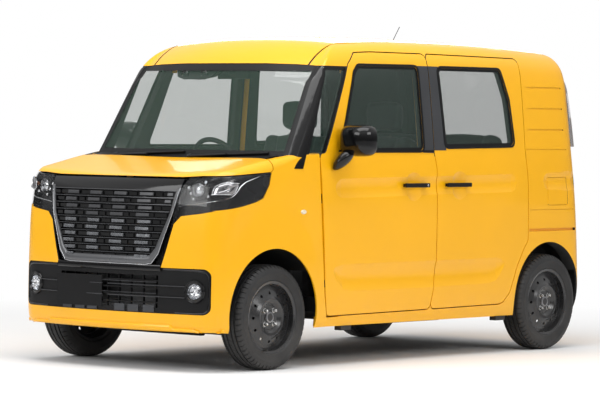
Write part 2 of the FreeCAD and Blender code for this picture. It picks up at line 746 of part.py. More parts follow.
BODY_SIDE_SHARES = [
    (-0.2173, 0.1184),
    (-0.2173, 0.6425),
    (-0.1558, 0.9011),
    (-0.2651, 0.9011),
    (-0.2651, 1.0223),
    (0.5184, 1.0223),
    (0.5184, 0.1184),
]
TAILGATE_SHARES = [
    (0.4237, 0.3603),
    (0.4149, 0.5922),
    (0.3892, 0.648),
    (0.3837, 0.9162),
    (0.3797, 1.0279),
]
TAIL_WINDOW_SHARES = [
    (0.3525, 0.6257),
    (0.339, 0.8994),
    (0.1695, 0.9162),
]
PILLAR_REAR_SHARES = [
    (-0.2881, 0.5587),
    (-0.2781, 0.6034),
    (-0.2127, 0.9011),
    (-0.0884, 0.9497),
    (-0.0884, 0.5587),
]
ROOF_FRONT_SHARES = [
    (0.4881, 0.5028),
    (0.4339, 0.9011),
    (0.3797, 0.9028),
    (0.2034, 0.9078),
]
TAIL_LAMP_SHARES = [
    (0.3946, 0.6592),
    (0.3892, 0.905),
    (0.5288, 0.905),
    (0.5288, 0.6592),
]
REAR_BUMPER_SHARES = [
    (0.4595, 0.1184),
    (0.4713, 0.3575),
    (0.5243, 0.3575),
    (0.5243, 0.1184),
]
ROOF_SEAM_SHARE = 0.3824
ROOF_JOINT_SHARE = 0.9011
SCREEN_END_SHARE = -0.1473
TAILGATE_START_SHARE = 0.4359
TAIL_CUT_SHARE = 0.2946
LAMP_START_SHARE = 0.463
PILLAR_FOOT_SHARE = 0.5922
SWING_TOP_SHARE = 0.6592
HINGE_PLACE_SHARE = -0.2144
HINGE_LEVEL_SHARES = (0.2458, 0.5028)
# Latch blocks: where each one starts along the car, and the height of its foot.
FRONT_LATCH_SHARES = (0.0492, 0.3911)
SLIDING_LATCH_SHARES = [(0.0624, 0.3911), (0.3063, 0.3911)]
door_seam = side_points(FRONT_DOOR_SHARES)
sliding_seam = side_points(SLIDING_DOOR_SHARES)
windscreen_outline = symmetric(front_points(WINDSCREEN_SHARES))
tailgate_outline = symmetric(front_points(TAILGATE_SHARES))
tail_lamp_outline = front_points(TAIL_LAMP_SHARES)
roof_seam_x = x_at(ROOF_SEAM_SHARE)
roof_joint_z = z_at(ROOF_JOINT_SHARE)
screen_end_y = y_at(SCREEN_END_SHARE)
tailgate_front_y = y_at(TAILGATE_START_SHARE)
lamp_front_y = y_at(LAMP_START_SHARE)
round_corner = dim.corner_round
deep = dim.deep_cut
out_x = width / 2 + overrun
door_front_y = min(y for y, z in door_seam)
door_rear_y = max(y for y, z in door_seam)
hinge_y = y_at(HINGE_PLACE_SHARE)
hinge_x = width / 2 - dim.hinge_inset
hinge_heights = [z_at(share) for share in HINGE_LEVEL_SHARES]
swing_radius = hinge_y - door_front_y + gap


def arch(y, radius):
    return across(radius, y, arch_z, deep, out_x)


def latch_blocks(places):
    """blocks on a door's inner face that reach the frame behind it"""
    boxes = []
    for y, z in side_points(places):
        boxes.append(box(deep, out_x, y, y + dim.latch_width, z, z + dim.latch_height))
    layer = cabin_solid(dim.door_thickness / 2).cut(cabin_solid(frame_outer - clear, None, below))
    return layer.common(Part.makeCompound(boxes))


def hinge_pockets():
    """spaces in the front door for the body's hinge barrels"""
    reach = dim.hinge_radius + clear
    half = dim.hinge_length / 2 + clear
    pockets = []
    for z in hinge_heights:
        front = hinge_y - swing_radius
        pockets.append(
            box(hinge_x - dim.door_thickness, hinge_x + reach, front, hinge_y + reach, z - half, z + half)
        )
    return pockets


# Pressings of the body side: place along the car, heights of the two edges, share of the depth.
BAND_SHARES = [
    (-0.2038, 0.5279, 0.543, -0.3),
    (-0.1968, 0.5095, 0.5553, 0.5),
    (-0.187, 0.5045, 0.5615, 1),
    (-0.1178, 0.505, 0.5637, 1),
    (0.0442, 0.5106, 0.567, 1),
    (0.1767, 0.5134, 0.5698, 1),
    (0.2666, 0.5162, 0.5721, 1),
    (0.2763, 0.5218, 0.5665, 0.5),
    (0.2834, 0.5374, 0.5531, -0.3),
]
HOLLOW_SHARES = [
    (-0.208, 0.2793, 0.2989, -0.2),
    (-0.1973, 0.2542, 0.3028, 0.4),
    (-0.1797, 0.2302, 0.3039, 0.9),
    (-0.1591, 0.2235, 0.3039, 1),
    (0.0442, 0.2223, 0.3045, 1),
    (0.2062, 0.2263, 0.3056, 1),
    (0.2268, 0.2346, 0.3061, 0.9),
    (0.2421, 0.2598, 0.305, 0.4),
    (0.2527, 0.2849, 0.3006, -0.2),
]
SCOOP_REACH_SHARE = 1.3
QUARTER_BAND_SHARES = [
    (0.357, 0.5419, 0.5587, -0.3),
    (0.3638, 0.5263, 0.5709, 0.5),
    (0.3717, 0.5218, 0.5754, 1),
    (0.4124, 0.5207, 0.5765, 1),
    (0.4477, 0.5196, 0.5777, 0.8),
    (0.4654, 0.5196, 0.5777, 0.5),
]
BOWL_SHARES = [(-0.0009, 0.5385), (0.1214, 0.5408)]
LID_SHARES = [(0.3735, 0.4709), (0.3735, 0.5603), (0.433, 0.5603), (0.4336, 0.4709)]
RAIL_SLOT_SHARES = (0.3178, 0.4613, 0.3911)
SEAM_SHARES = [(0.3178, 0.4527, 0.4564), (0.3099, 0.4321, 0.652)]
RIB_SHARES = [(0.3216, 0.4259, 0.7156), (0.3216, 0.4259, 0.7838), (0.3216, 0.4259, 0.852)]


def skin_x(y, z):
    """half width of the cabin's skin at one place of its side"""
    line = Part.makeLine(Vector(deep, y, z), Vector(out_x, y, z))
    return cabin.common(line).BoundBox.XMax


def scoop(table, depth):
    """cutter for a channel whose section is an arc that runs out at both ends"""
    rows = [(y_at(y), z_at(low), z_at(high), share) for y, low, high, share in table]
    places = []
    for row, after in zip(rows, rows[1:]):
        steps = max(1, math.ceil((after[0] - row[0]) / dim.scoop_step))
        places += [row[0] + (after[0] - row[0]) * i / steps for i in range(steps)]
    places.append(rows[-1][0])
    lift = depth * (SCOOP_REACH_SHARE ** 2 - 1)
    wires = []
    for y in places:
        low, high, share = along(rows, y)[1:]
        middle = (low + high) / 2
        half = (high - low) / 2 * SCOOP_REACH_SHARE
        points = [
            Vector(skin_x(y, middle - half) + lift, y, middle - half),
            Vector(skin_x(y, middle) - share * depth, y, middle),
            Vector(skin_x(y, middle + half) + lift, y, middle + half),
        ]
        arc = Part.Arc(*points).toShape()
        corners = [points[2], Vector(out_x, y, middle + half), Vector(out_x, y, middle - half), points[0]]
        lines = [Part.makeLine(a, b) for a, b in zip(corners, corners[1:])]
        wires.append(Part.Wire([arc] + lines))
    return Part.makeLoft(wires, True, True)


def bowl(y, z):
    """round dent behind a handle"""
    radius = (dim.bowl_radius ** 2 + dim.bowl_depth ** 2) / (2 * dim.bowl_depth)
    return Part.makeSphere(radius, Vector(skin_x(y, z) - dim.bowl_depth + radius, y, z))


def groove(outline, depth):
    """the part of a prism that lies within a depth of the skin"""
    return outline.cut(cabin_solid(depth))


def quarter_pressings():
    """band, fuel lid, rail slot, seams and ribs of the rear quarter"""
    lid = side_points(LID_SHARES)
    wide = dim.groove_width
    ring = side_prism(offset_points(lid, wide / 2), deep, out_x, 4 * wide)
    ring = ring.cut(side_prism(offset_points(lid, -wide / 2), deep, out_x, 3 * wide))
    tools = [scoop(QUARTER_BAND_SHARES, dim.band_depth), groove(ring, dim.band_depth + dim.groove_depth)]
    start, end, z = RAIL_SLOT_SHARES
    half = dim.slot_height / 2
    slot = box(deep, out_x, y_at(start), y_at(end), z_at(z) - half, z_at(z) + half)
    tools.append(groove(slot, dim.slot_depth))
    for table, high in ((SEAM_SHARES, wide), (RIB_SHARES, dim.rib_height)):
        for start, end, z in table:
            level = z_at(z)
            line = box(deep, out_x, y_at(start), y_at(end), level - high / 2, level + high / 2)
            tools.append(groove(line, dim.groove_depth))
    return Part.makeCompound(tools)


def make_front_doors():
    outline = offset_points(door_seam, -gap / 2)
    door = cabin.common(side_prism(outline, deep, out_x, round_corner)).cut(cabin_for_doors)
    window = side_points(FRONT_WINDOW_SHARES)
    door = door.cut(side_prism(window, deep, out_x, round_corner))
    foot = Vector(hinge_x, hinge_y, 0)
    door = door.common(rod(foot, foot + Vector(0, 0, height), door_rear_y - gap / 2 - hinge_y))
    door = door.cut(Part.makeCompound(hinge_pockets()))
    door = door.fuse(latch_blocks([FRONT_LATCH_SHARES]))
    for tool in door_pressings:
        door = door.cut(tool)
    pane = side_prism(offset_points(window, -clear), deep, out_x, round_corner)
    glass = cabin_glass.common(pane)
    add("front_door_left", door)
    add("front_door_right", mirrored(door))
    add("door_glass_left", glass)
    add("door_glass_right", mirrored(glass))


def make_sliding_doors():
    outline = offset_points(sliding_seam, -gap / 2)
    panel = side_prism(outline, deep, out_x, round_corner)
    door = cabin.common(panel).cut(cabin_for_doors)
    window = side_points(SLIDING_WINDOW_SHARES)
    door = door.cut(side_prism(window, deep, out_x, round_corner))
    door = door.fuse(latch_blocks(SLIDING_LATCH_SHARES))
    for tool in door_pressings:
        door = door.cut(tool)
    pane = side_prism(offset_points(window, -clear), deep, out_x, round_corner)
    glass = cabin_glass.common(pane)
    quarter = side_prism(offset_points(side_points(QUARTER_WINDOW_SHARES), -clear), deep, out_x, gap)
    quarter_glass = cabin_glass.common(quarter).cut(nose_solid(-clear)).cut(screen_space)
    quarter_glass = quarter_glass.cut(side_prism(offset_points(door_seam, gap / 2), deep, out_x))
    add("sliding_doors", both_sides(door))
    add("side_glass", both_sides(glass) + both_sides(largest(quarter_glass)))


# Body panels

def door_swing_space():
    """space that the front edge of a front door turns through"""
    foot = Vector(hinge_x, hinge_y, door_seam[0][1] - gap)
    return rod(foot, Vector(hinge_x, hinge_y, z_at(SWING_TOP_SHARE)), swing_radius + gap)


def make_body_sides():
    region = side_prism(side_points(BODY_SIDE_SHARES), roof_seam_x + dim.ditch_half, out_x)
    lip = arch(rear_arch_y, rear_arch_radius + dim.arch_lip)
    flange = dim.frame_flange
    openings = []
    frame_openings = []
    for seam in (door_seam, sliding_seam):
        outer = side_prism(offset_points(seam, gap / 2), deep, out_x, round_corner + gap)
        inner = side_prism(offset_points(seam, -flange), deep, out_x, round_corner)
        openings.append(outer.cut(lip))
        frame_openings.append(inner.cut(arch(rear_arch_y, rear_arch_radius + flange)))
    side = cabin.cut(cabin_solid(frame_inner, dim.roof_thickness + dim.door_thickness, below))
    side = side.common(region)
    recess = cabin_solid(frame_outer)
    for opening, frame_opening in zip(openings, frame_openings):
        side = side.cut(frame_opening).cut(opening.cut(recess))
    tail_y = tailgate_front_y - gap
    tools = [
        arch(rear_arch_y, rear_arch_radius),
        front_prism(offset_points(tailgate_outline, gap / 2), tail_y, length),
        front_prism(offset_points(tail_lamp_outline, clear), lamp_front_y - clear, length),
        side_prism(offset_points(side_points(REAR_BUMPER_SHARES), gap / 2), deep, out_x),
        front_prism(offset_points(windscreen_outline, clear), -length, screen_end_y, round_corner),
        door_swing_space(),
    ]
    for tool in tools + [quarter_pressings()]:
        side = side.cut(tool)
    side = largest(side)
    add("body_side_left", side)
    add("body_side_right", mirrored(side))


def tailgate_axis():
    """place of the tailgate's hinge axis, as y and z"""
    return tailgate_front_y + dim.tailgate_hinge_back, height - dim.tailgate_hinge_drop


def tailgate_hinges():
    """barrels on arms that hang from the roof's inner face"""
    axis_y, axis_z = tailgate_axis()
    radius = dim.tailgate_hinge_radius
    half = dim.tailgate_hinge_length / 2
    arm = dim.tailgate_hinge_length / 4
    foot_z = axis_z - dim.roof_thickness - 2 * radius
    front_y = tailgate_front_y - dim.tailgate_gap - 4 * radius
    x = dim.tailgate_hinge_inset
    barrel = across(radius, axis_y, axis_z, x - half, x + half)
    parts = [
        box(x - arm, x + arm, axis_y - radius, axis_y + radius, foot_z, axis_z),
        box(x - arm, x + arm, front_y, axis_y + radius, foot_z - 2 * radius, foot_z),
        box(x - arm, x + arm, front_y, front_y + 2 * radius, foot_z - 2 * radius, axis_z),
    ]
    return barrel.fuse(parts)


def make_roof():
    end_y = tailgate_front_y - dim.tailgate_gap
    half = roof_seam_x - dim.ditch_half
    top = height + overrun
    roof = wall.common(box(-half, half, -length, end_y, roof_joint_z, top))
    below_roof = offset_points(symmetric(front_points(ROOF_FRONT_SHARES)), clear)
    roof = roof.cut(front_prism(below_roof, -length, y_at(ROOF_CUT_SHARE))).cut(screen_space)
    hinges = tailgate_hinges()
    roof = roof.fuse([hinges, mirrored(hinges)])
    layer = cabin_solid(0, dim.moulding_setback)
    layer = layer.cut(cabin_solid(dim.door_thickness, dim.roof_thickness, below))
    start_y = y_at(DITCH_START_SHARE)
    strip = layer.common(
        box(half, half + 2 * dim.ditch_half, start_y, end_y, roof_joint_z, top)
    )
    add("roof_panel", roof)
    return largest(strip.cut(screen_space))


ROOF_CUT_SHARE = -0.0884
DITCH_START_SHARE = -0.23


def make_front_pillars():
    region = box(deep, out_x, -length, screen_end_y, z_at(PILLAR_FOOT_SHARE), roof_joint_z)
    pillar = wall.common(region)
    pillar = pillar.cut(screen_space)
    pillar = pillar.cut(side_prism(side_points(PILLAR_REAR_SHARES), deep, out_x))
    pillar = pillar.cut(nose_solid(-clear))
    add("front_pillars", both_sides(largest(pillar)))


def make_windscreen():
    outline = front_prism(windscreen_outline, -length, screen_end_y, round_corner)
    add("windshield", cabin_glass.common(outline))


def make_tailgate():
    panel = front_prism(offset_points(tailgate_outline, -gap / 2), tailgate_front_y, length, gap)
    inner = cabin_solid(dim.door_thickness, dim.roof_thickness, below)
    gate = cabin.common(panel).cut(inner)
    window = symmetric(front_points(TAIL_WINDOW_SHARES))
    cut_y = y_at(TAIL_CUT_SHARE)
    gate = gate.cut(front_prism(window, cut_y, length, 2 * round_corner))
    axis_y, axis_z = tailgate_axis()
    radius = dim.tailgate_hinge_radius
    half = dim.tailgate_hinge_length / 2 + clear
    x = dim.tailgate_hinge_inset
    pocket = box(
        x - half, x + half, 0, axis_y + radius + clear, axis_z - dim.door_thickness, axis_z + radius + clear
    )
    gate = gate.cut(Part.makeCompound(both_sides(pocket)))
    latch_y = y_at(GATE_LATCH_SHARE)
    foot = tailgate_outline[0][1] + gap / 2
    top = tail_beam_top + clear
    half = dim.bonnet_latch_width / 2
    gate = gate.fuse(box(-half, half, latch_y, latch_y + dim.latch_width, top, foot + gap))
    pane = front_prism(offset_points(window, -clear), cut_y, length, 2 * round_corner)
    add("tailgate", gate)
    add("tailgate_glass", cabin_glass.common(pane))


GATE_LATCH_SHARE = 0.4875
TAIL_BEAM_SHARES = (0.2458, 0.3531)
tail_beam_low, tail_beam_top = [z_at(share) for share in TAIL_BEAM_SHARES]


def make_rear_end():
    bumper = cabin.cut(cabin_solid(dim.bumper_wall, None, below))
    bumper = bumper.common(side_prism(side_points(REAR_BUMPER_SHARES), -out_x, out_x, gap))
    bumper = bumper.cut(across(rear_arch_radius, rear_arch_y, arch_z, -out_x, out_x))
    add("rear_bumper", bumper)
    lamp = cabin.cut(cabin_for_doors)
    lamp = lamp.common(front_prism(tail_lamp_outline, lamp_front_y, length, gap))
    add("tail_lamps", both_sides(lamp))


# Front end
UPPER_OPENING_SHARES = [
    (0.2515, 0.3022),
    (0.2719, 0.352),
    (0.2969, 0.4229),
    (0.3085, 0.4637),
    (0.3186, 0.5363),
    (0.3322, 0.5648),
]
LAMP_FRONT_SHARES = [
    (0.2915, 0.4162),
    (0.2969, 0.4279),
    (0.3268, 0.4531),
    (0.4102, 0.462),
    (0.482, 0.4743),
    (0.5424, 0.4793),
    (0.5424, 0.5922),
    (0.3322, 0.581),
    (0.3308, 0.5603),
    (0.3139, 0.5318),
    (0.2929, 0.4553),
]
LAMP_SIDE_SHARES = [
    (-0.3543, 0.5799),
    (-0.3588, 0.5447),
    (-0.3726, 0.5061),
    (-0.3888, 0.495),
    (-0.4191, 0.4832),
    (-0.4654, 0.4709),
    (-0.4772, 0.3911),
    (-0.5243, 0.3911),
    (-0.5243, 0.562),
    (-0.4669, 0.5631),
    (-0.4595, 0.5676),
]
LOWER_OPENING_SHARES = [
    (0.4508, 0.1682),
    (0.4508, 0.3017),
]
LOWER_WINDOW_SHARES = [
    (0.2522, 0.1777),
    (0.2373, 0.2838),
]
GRILLE_TRIM_SHARES = [
    (0.2122, 0.3106),
    (0.2407, 0.3408),
    (0.2908, 0.4553),
    (0.3132, 0.5363),
]
BONNET_SIDE_SHARES = [
    (-0.5302, 0.5637),
    (-0.4669, 0.5648),
    (-0.4595, 0.5693),
    (-0.3552, 0.5816),
    (-0.3505, 0.5899),
    (-0.324, 0.5899),
    (-0.324, 0.6983),
    (-0.5302, 0.6983),
]
BONNET_TOP_SHARES = [
    (0.5424, -0.5302),
    (0.5424, -0.3505),
    (0.4746, -0.3505),
    (0.4068, -0.3417),
    (0.2712, -0.3378),
    (0.1017, -0.3361),
]
BUMPER_SEAM_SHARE = -0.4256
NOSE_CUT_SHARE = -0.3829
LAMP_CUT_SHARE = -0.324
NOSE_FLOOR_SHARE = 0.5028
FOG_LAMP_SHARES = (0.3912, 0.2358)
FOG_CUT_SHARE = -0.4418
# Bonnet hinges: the axis, and the front end of the arms along the car.
BONNET_AXIS_SHARES = (-0.324, 0.6101)
BONNET_ARM_SHARES = [
    (-0.3255, 0.6156),
    (-0.3579, 0.6151),
    (-0.3579, 0.6078),
    (-0.3255, 0.6056),
]
BONNET_LATCH_SHARES = (-0.4471, -0.4454, 0.5765)
GRILLE_BARS = 10
GRILLE_BAR_SHARE = 0.24
GRILLE_STEPS = 21
LOWER_BARS = 4
LOWER_POSTS = 9
bumper_seam_y = y_at(BUMPER_SEAM_SHARE)
nose_cut_y = y_at(NOSE_CUT_SHARE)
nose_floor_z = z_at(NOSE_FLOOR_SHARE)
bonnet_rear = [(x_at(x), y_at(y)) for x, y in BONNET_TOP_SHARES]
bonnet_axis_y, bonnet_axis_z = side_points([BONNET_AXIS_SHARES])[0]
fog_x, fog_z = front_points([FOG_LAMP_SHARES])[0]


def fog_rod(radius):
    start = Vector(fog_x, -length / 2 - gap, fog_z)
    return rod(start, Vector(fog_x, y_at(FOG_CUT_SHARE), fog_z), radius)


def lamp_space(grow):
    front = front_prism(offset_points(front_points(LAMP_FRONT_SHARES), grow), -length, y_at(LAMP_CUT_SHARE))
    side = side_prism(offset_points(side_points(LAMP_SIDE_SHARES), grow), 0, out_x)
    return front.common(side)


def bonnet_space(grow):
    side = side_prism(offset_points(side_points(BONNET_SIDE_SHARES), grow), -out_x, out_x)
    outline = offset_points(symmetric(bonnet_rear), grow)
    return side.common(top_prism(outline, nose_floor_z, height))


def bonnet_pin():
    """hinge pin on a bracket under the inner edge of a wing"""
    edge = dim.wing_inner_edge
    start = edge - dim.bonnet_bracket / 2
    eye = dim.bonnet_eye_radius
    pin_start = dim.bonnet_arm_inset - dim.bonnet_arm_width / 2 - clear
    pin = across(dim.bonnet_pin_radius, bonnet_axis_y, bonnet_axis_z, pin_start, edge)
    top = bonnet_axis_z + 3 * eye
    bracket = box(
        start, edge + gap, bonnet_axis_y - eye, bonnet_axis_y + eye, bonnet_axis_z - eye, top
    )
    return pin.fuse(bracket.common(nose_solid(dim.nose_thickness / 2)))


def bonnet_arm():
    """arm from the hinge pin to the underside of the bonnet"""
    half = dim.bonnet_arm_width / 2
    start = dim.bonnet_arm_inset - half
    end = dim.bonnet_arm_inset + half
    eye = across(dim.bonnet_eye_radius, bonnet_axis_y, bonnet_axis_z, start, end)
    arm = side_prism(side_points(BONNET_ARM_SHARES), start, end)
    hole = across(dim.bonnet_pin_radius + clear, bonnet_axis_y, bonnet_axis_z, start - gap, end + gap)
    return eye.fuse(arm).cut(hole)


def make_front_body():
    lamps = Part.makeCompound(both_sides(lamp_space(clear)))
    opening = symmetric(front_points(UPPER_OPENING_SHARES))
    upper = front_prism(opening, -length, nose_cut_y)
    lower_outline = symmetric(front_points(LOWER_OPENING_SHARES))
    lower = front_prism(lower_outline, -length, nose_cut_y, dim.lower_corner)
    bonnet_hole = bonnet_space(gap / 2)
    arches = Part.makeCompound(both_sides(arch(front_axle_y, arch_radius)))
    seam = clear / 2
    bumper = nose_panel.common(
        box(-out_x, out_x, -length, bumper_seam_y - seam, dim.bumper_height, height)
    )
    for tool in (lamps, upper, lower, bonnet_hole, arches):
        bumper = bumper.cut(tool)
    add("front_bumper", [largest(bumper)])
    door_line = [(door_seam[0][0], 0), door_seam[0], door_seam[1], door_seam[2], (door_front_y, height)]
    behind = offset_points(door_line + [(0, height), (0, 0)], gap / 2)
    wing = nose_panel.common(box(0, out_x, bumper_seam_y + seam, 0, dim.sill_height, height))
    wing = wing.cut(side_prism(behind, 0, out_x))
    wing = wing.cut(box(0, dim.wing_inner_edge, -length, 0, nose_floor_z, height))
    for tool in (lamps, bonnet_hole, arches, screen_space):
        wing = wing.cut(tool)
    wing = largest(wing).fuse(bonnet_pin())
    add("front_wings", both_sides(wing))
    bonnet = largest(nose_panel.common(bonnet_space(-gap / 2)))
    front_y, rear_y, top_z = BONNET_LATCH_SHARES
    half = dim.bonnet_latch_width / 2
    low = dim.lock_bar_level + dim.lock_bar_height + clear
    latch = box(-half, half, y_at(front_y), y_at(rear_y), low, z_at(top_z) + gap)
    arm = bonnet_arm()
    add("bonnet", bonnet.fuse([arm, mirrored(arm), latch.common(nose_solid(dim.nose_thickness / 2))]))


def make_headlamps():
    space = lamp_space(0)
    lens = largest(nose.common(space).cut(nose_solid(dim.lens_thickness, below)))
    housing = nose_solid(dim.lens_thickness).common(space)
    housing = largest(housing.cut(nose_solid(dim.lamp_depth, below)))
    add("headlamp_lenses", both_sides(lens))
    add("headlamps", both_sides(housing))


def nose_front(x, z, setback):
    """place of the nose's front skin, moved back"""
    table = [(z_at(a), x_at(b), y_at(c)) for a, b, c in NOSE_ROW_SHARES]
    return along(table, z)[2] + dim.nose_bow * (x / dim.bow_half) ** 2 + setback


def block_bar(half, z_low, z_high, front, back, shift):
    """bar with blocks that stand proud of its front in every other place"""
    middle = (z_low + z_high) / 2
    line = []
    for i in range(GRILLE_STEPS):
        proud = dim.block_depth if (i + shift) % 2 else 0
        for step in (i, i + 1):
            x = half * (2 * step / GRILLE_STEPS - 1)
            line.append(Vector(x, nose_front(x, middle, front - proud), z_low))
    rear = [Vector(x, nose_front(x, middle, back), z_low) for x in (half, 0, -half)]
    points = [line[0]]
    for point in line[1:] + rear + line[:1]:
        if (point - points[-1]).Length > least:
            points.append(point)
    face = Part.Face(Part.makePolygon(points))
    return face.extrude(Vector(0, 0, z_high - z_low))


def make_grille():
    back_from = dim.grille_setback
    opening = offset_points(symmetric(front_points(UPPER_OPENING_SHARES)), -clear)
    lamps = Part.makeCompound(both_sides(lamp_space(clear)))
    face = front_prism(opening, -length, nose_cut_y).cut(lamps)
    face = face.common(box(-out_x, out_x, -length, 0, 0, dim.grille_top))
    back = nose_solid(back_from).common(face).cut(nose_solid(back_from + dim.nose_thickness, below))
    outline = symmetric(front_points(GRILLE_TRIM_SHARES))
    wide = dim.grille_trim
    inside = offset_points(outline, -wide)
    top_z = outline[3][1] - wide
    band = front_prism(outline, -length, nose_cut_y).cut(front_prism(inside, -length, nose_cut_y))
    band = band.common(box(-out_x, out_x, -length, 0, 0, top_z))
    top_bar = symmetric([(outline[3][0], top_z), (opening[5][0] - wide, opening[5][1])])
    band = band.fuse(front_prism(top_bar, -length, nose_cut_y)).common(face)
    trim = nose_solid(-gap / 2).common(band).cut(nose_solid(back_from - clear, below))
    low = inside[0][1]
    half = inside[3][0]
    pitch = (top_z - low) / GRILLE_BARS
    thick = GRILLE_BAR_SHARE * pitch
    window = front_prism(offset_points(inside, -clear), -length, nose_cut_y)
    bars = []
    for i in range(GRILLE_BARS):
        middle = low + (i + 0.5) * pitch
        bar = block_bar(half, middle - thick, middle + thick, gap, back_from - clear, i % 2)
        bars.append(largest(bar.common(window)))
    add("grille", [largest(back), largest(trim)] + bars)


def lower_bar_levels():
    """heights of the horizontal bars of the lower grille"""
    low, high = [z_at(z) for x, z in LOWER_WINDOW_SHARES]
    return [low + (high - low) * i / (LOWER_BARS + 1) for i in range(1, LOWER_BARS + 1)]


def make_bumper_grille():
    outline = offset_points(symmetric(front_points(LOWER_OPENING_SHARES)), -clear)
    face = front_prism(outline, -length, nose_cut_y, dim.lower_corner)
    panel = nose_solid(gap).common(face).cut(nose_solid(gap + dim.nose_thickness, below))
    window = symmetric(front_points(LOWER_WINDOW_SHARES))
    panel = panel.cut(front_prism(window, -length, nose_cut_y, gap))
    panel = panel.cut(Part.makeCompound(both_sides(fog_rod(dim.fog_lamp_radius + clear))))
    inside = offset_points(window, -clear)
    inner = front_prism(inside, -length, nose_cut_y, gap)
    half, low = inside[0]
    high = inside[1][1]
    wide = dim.grille_trim / 2
    front_y = -length / 2 - gap
    grid = [
        box(-half, half, front_y, nose_cut_y, low, low + wide),
        box(-half, half, front_y, nose_cut_y, high - wide, high),
        box(-half, 2 * wide - half, front_y, nose_cut_y, low, high),
        box(half - 2 * wide, half, front_y, nose_cut_y, low, high),
    ]
    for level in lower_bar_levels():
        grid.append(box(-half, half, front_y, nose_cut_y, level - gap / 2, level + gap / 2))
    for i in range(LOWER_POSTS):
        x = half * (2 * (i + 0.5) / LOWER_POSTS - 1)
        start = nose_front(x, low, 3 * gap)
        grid.append(box(x - gap / 3, x + gap / 3, start, nose_cut_y, low, high))
    mesh = grid[0].fuse(grid[1:]).common(inner)
    mesh = mesh.common(nose_solid(gap)).cut(nose_solid(dim.grille_setback + gap, below))
    add("bumper_grille", panel.Solids + mesh.Solids)


def make_cowl():
    arm_inner = dim.bonnet_arm_inset - dim.bonnet_arm_width / 2 - gap
    plan = [(arm_inner, y_at(COWL_END_SHARE)), (arm_inner, bonnet_rear[3][1])]
    plan += [(x, y + gap) for x, y in bonnet_rear[4:]]
    cover = nose_solid(gap / 3).cut(nose_solid(2 * gap, below))
    cover = cover.common(top_prism(symmetric(plan), nose_floor_z, height))
    cover = cover.cut(cabin_solid(dim.glass_setback - clear))
    add("cowl", largest(cover))


COWL_END_SHARE = -0.2828


def make_number_plate():
    """blank plate beside the lower grille, on two posts that reach its bars"""
    middle_x, low = front_points([PLATE_SHARES])[0]
    half = dim.plate_width / 2
    face_y = nose_front(0, low, 0)
    back_y = face_y + dim.plate_thickness
    plate = box(middle_x - half, middle_x + half, face_y, back_y, low, low + dim.plate_height)
    post = dim.plate_post_width / 2
    posts = []
    for level in lower_bar_levels()[::2]:
        for x in (middle_x - half / 2, middle_x + half / 2):
            deep_y = nose_front(abs(x) - post, level, gap) - clear
            posts.append(box(x - post, x + post, back_y, deep_y, level - post / 2, level + post / 2))
    add("number_plate", plate.fuse(posts))


PLATE_SHARES = (-0.1275, 0.1799)


# Structure under the skin
FLOOR_LINE_SHARES = [
    (-0.2946, 0.5642),
    (-0.2666, 0.3128),
    (-0.2533, 0.2235),
    (-0.2356, 0.2078),
    (0.1885, 0.2078),
    (0.2121, 0.2905),
    (0.4831, 0.2905),
    (0.4831, 0.5642),
]
BULKHEAD_TOP_SHARE = 0.5531
TAIL_FLOOR_SHARE = 0.4418
floor_line = side_points(FLOOR_LINE_SHARES)
floor_z = floor_line[3][1]
rear_floor_z = floor_line[5][1]
under_floor_z = floor_z - dim.floor_thickness - clear
under_rear_floor_z = rear_floor_z - dim.floor_thickness - clear


def tail_beam(grow):
    """beam behind the floor, or the space that it needs"""
    inset = dim.bumper_wall + clear
    beam = cabin_solid(inset).cut(cabin_solid(inset + dim.tail_beam_depth + grow, None, below))
    half = roof_seam_x + dim.ditch_half - clear + grow
    low = tail_beam_low - grow
    return beam.common(box(-half, half, y_at(TAIL_FLOOR_SHARE), length, low, tail_beam_top + grow))


def make_floor():
    tub = side_prism(offset_points(floor_line, dim.floor_thickness), -out_x, out_x)
    tub = tub.cut(side_prism(floor_line, -out_x - overrun, out_x + overrun))
    tub = tub.cut(box(-out_x, out_x, -length, length, z_at(BULKHEAD_TOP_SHARE), height))
    tail_y = y_at(TAIL_FLOOR_SHARE)
    tub = tub.cut(box(-out_x, out_x, tail_y, length, rear_floor_z, height))
    tub = tub.common(cabin_solid(frame_inner + clear, None, below))
    liners = [
        (front_axle_y, arch_radius, dim.front_liner_inset),
        (rear_arch_y, rear_arch_radius, dim.rear_liner_inset),
    ]
    for y, radius, start in liners:
        space = across(radius + dim.nose_thickness, y, arch_z, start, out_x)
        tub = tub.cut(Part.makeCompound(both_sides(space)))
    tub = tub.cut(Part.makeCompound(both_sides(door_swing_space())))
    add("floor_pan", tub.fuse(tail_beam(0)))


def liner(y, radius, x_from, skin):
    """half shell over one wheel with its inner wall"""
    outer = across(radius + dim.nose_thickness - clear, y, arch_z, x_from, out_x)
    inner = across(radius + clear, y, arch_z, x_from + dim.nose_thickness, out_x)
    shell = outer.cut(inner).common(skin)
    return shell.common(box(0, out_x, -length, length, arch_z, height))


def make_wheel_liners():
    nose_space = nose_solid(dim.nose_thickness + clear, below)
    front = liner(front_axle_y, arch_radius, dim.front_liner_inset, nose_space)
    foot = Vector(dim.strut_inset, front_axle_y, arch_z)
    strut_hole = rod(foot, Vector(foot.x, foot.y, dim.tower_level), dim.spring_radius + gap)
    front = front.cut(strut_hole)
    front = front.cut(side_prism(offset_points(floor_line, dim.floor_thickness + clear), 0, out_x))
    cabin_space = cabin_solid(frame_inner + clear, None, below)
    rear = liner(rear_arch_y, rear_arch_radius, dim.rear_liner_inset, cabin_space)
    rear = rear.cut(across(dim.axle_tube_radius + gap, rear_axle_y, axle_z, 0, out_x)).cut(tail_beam(clear))
    add("wheel_liners", both_sides(front) + both_sides(rear))


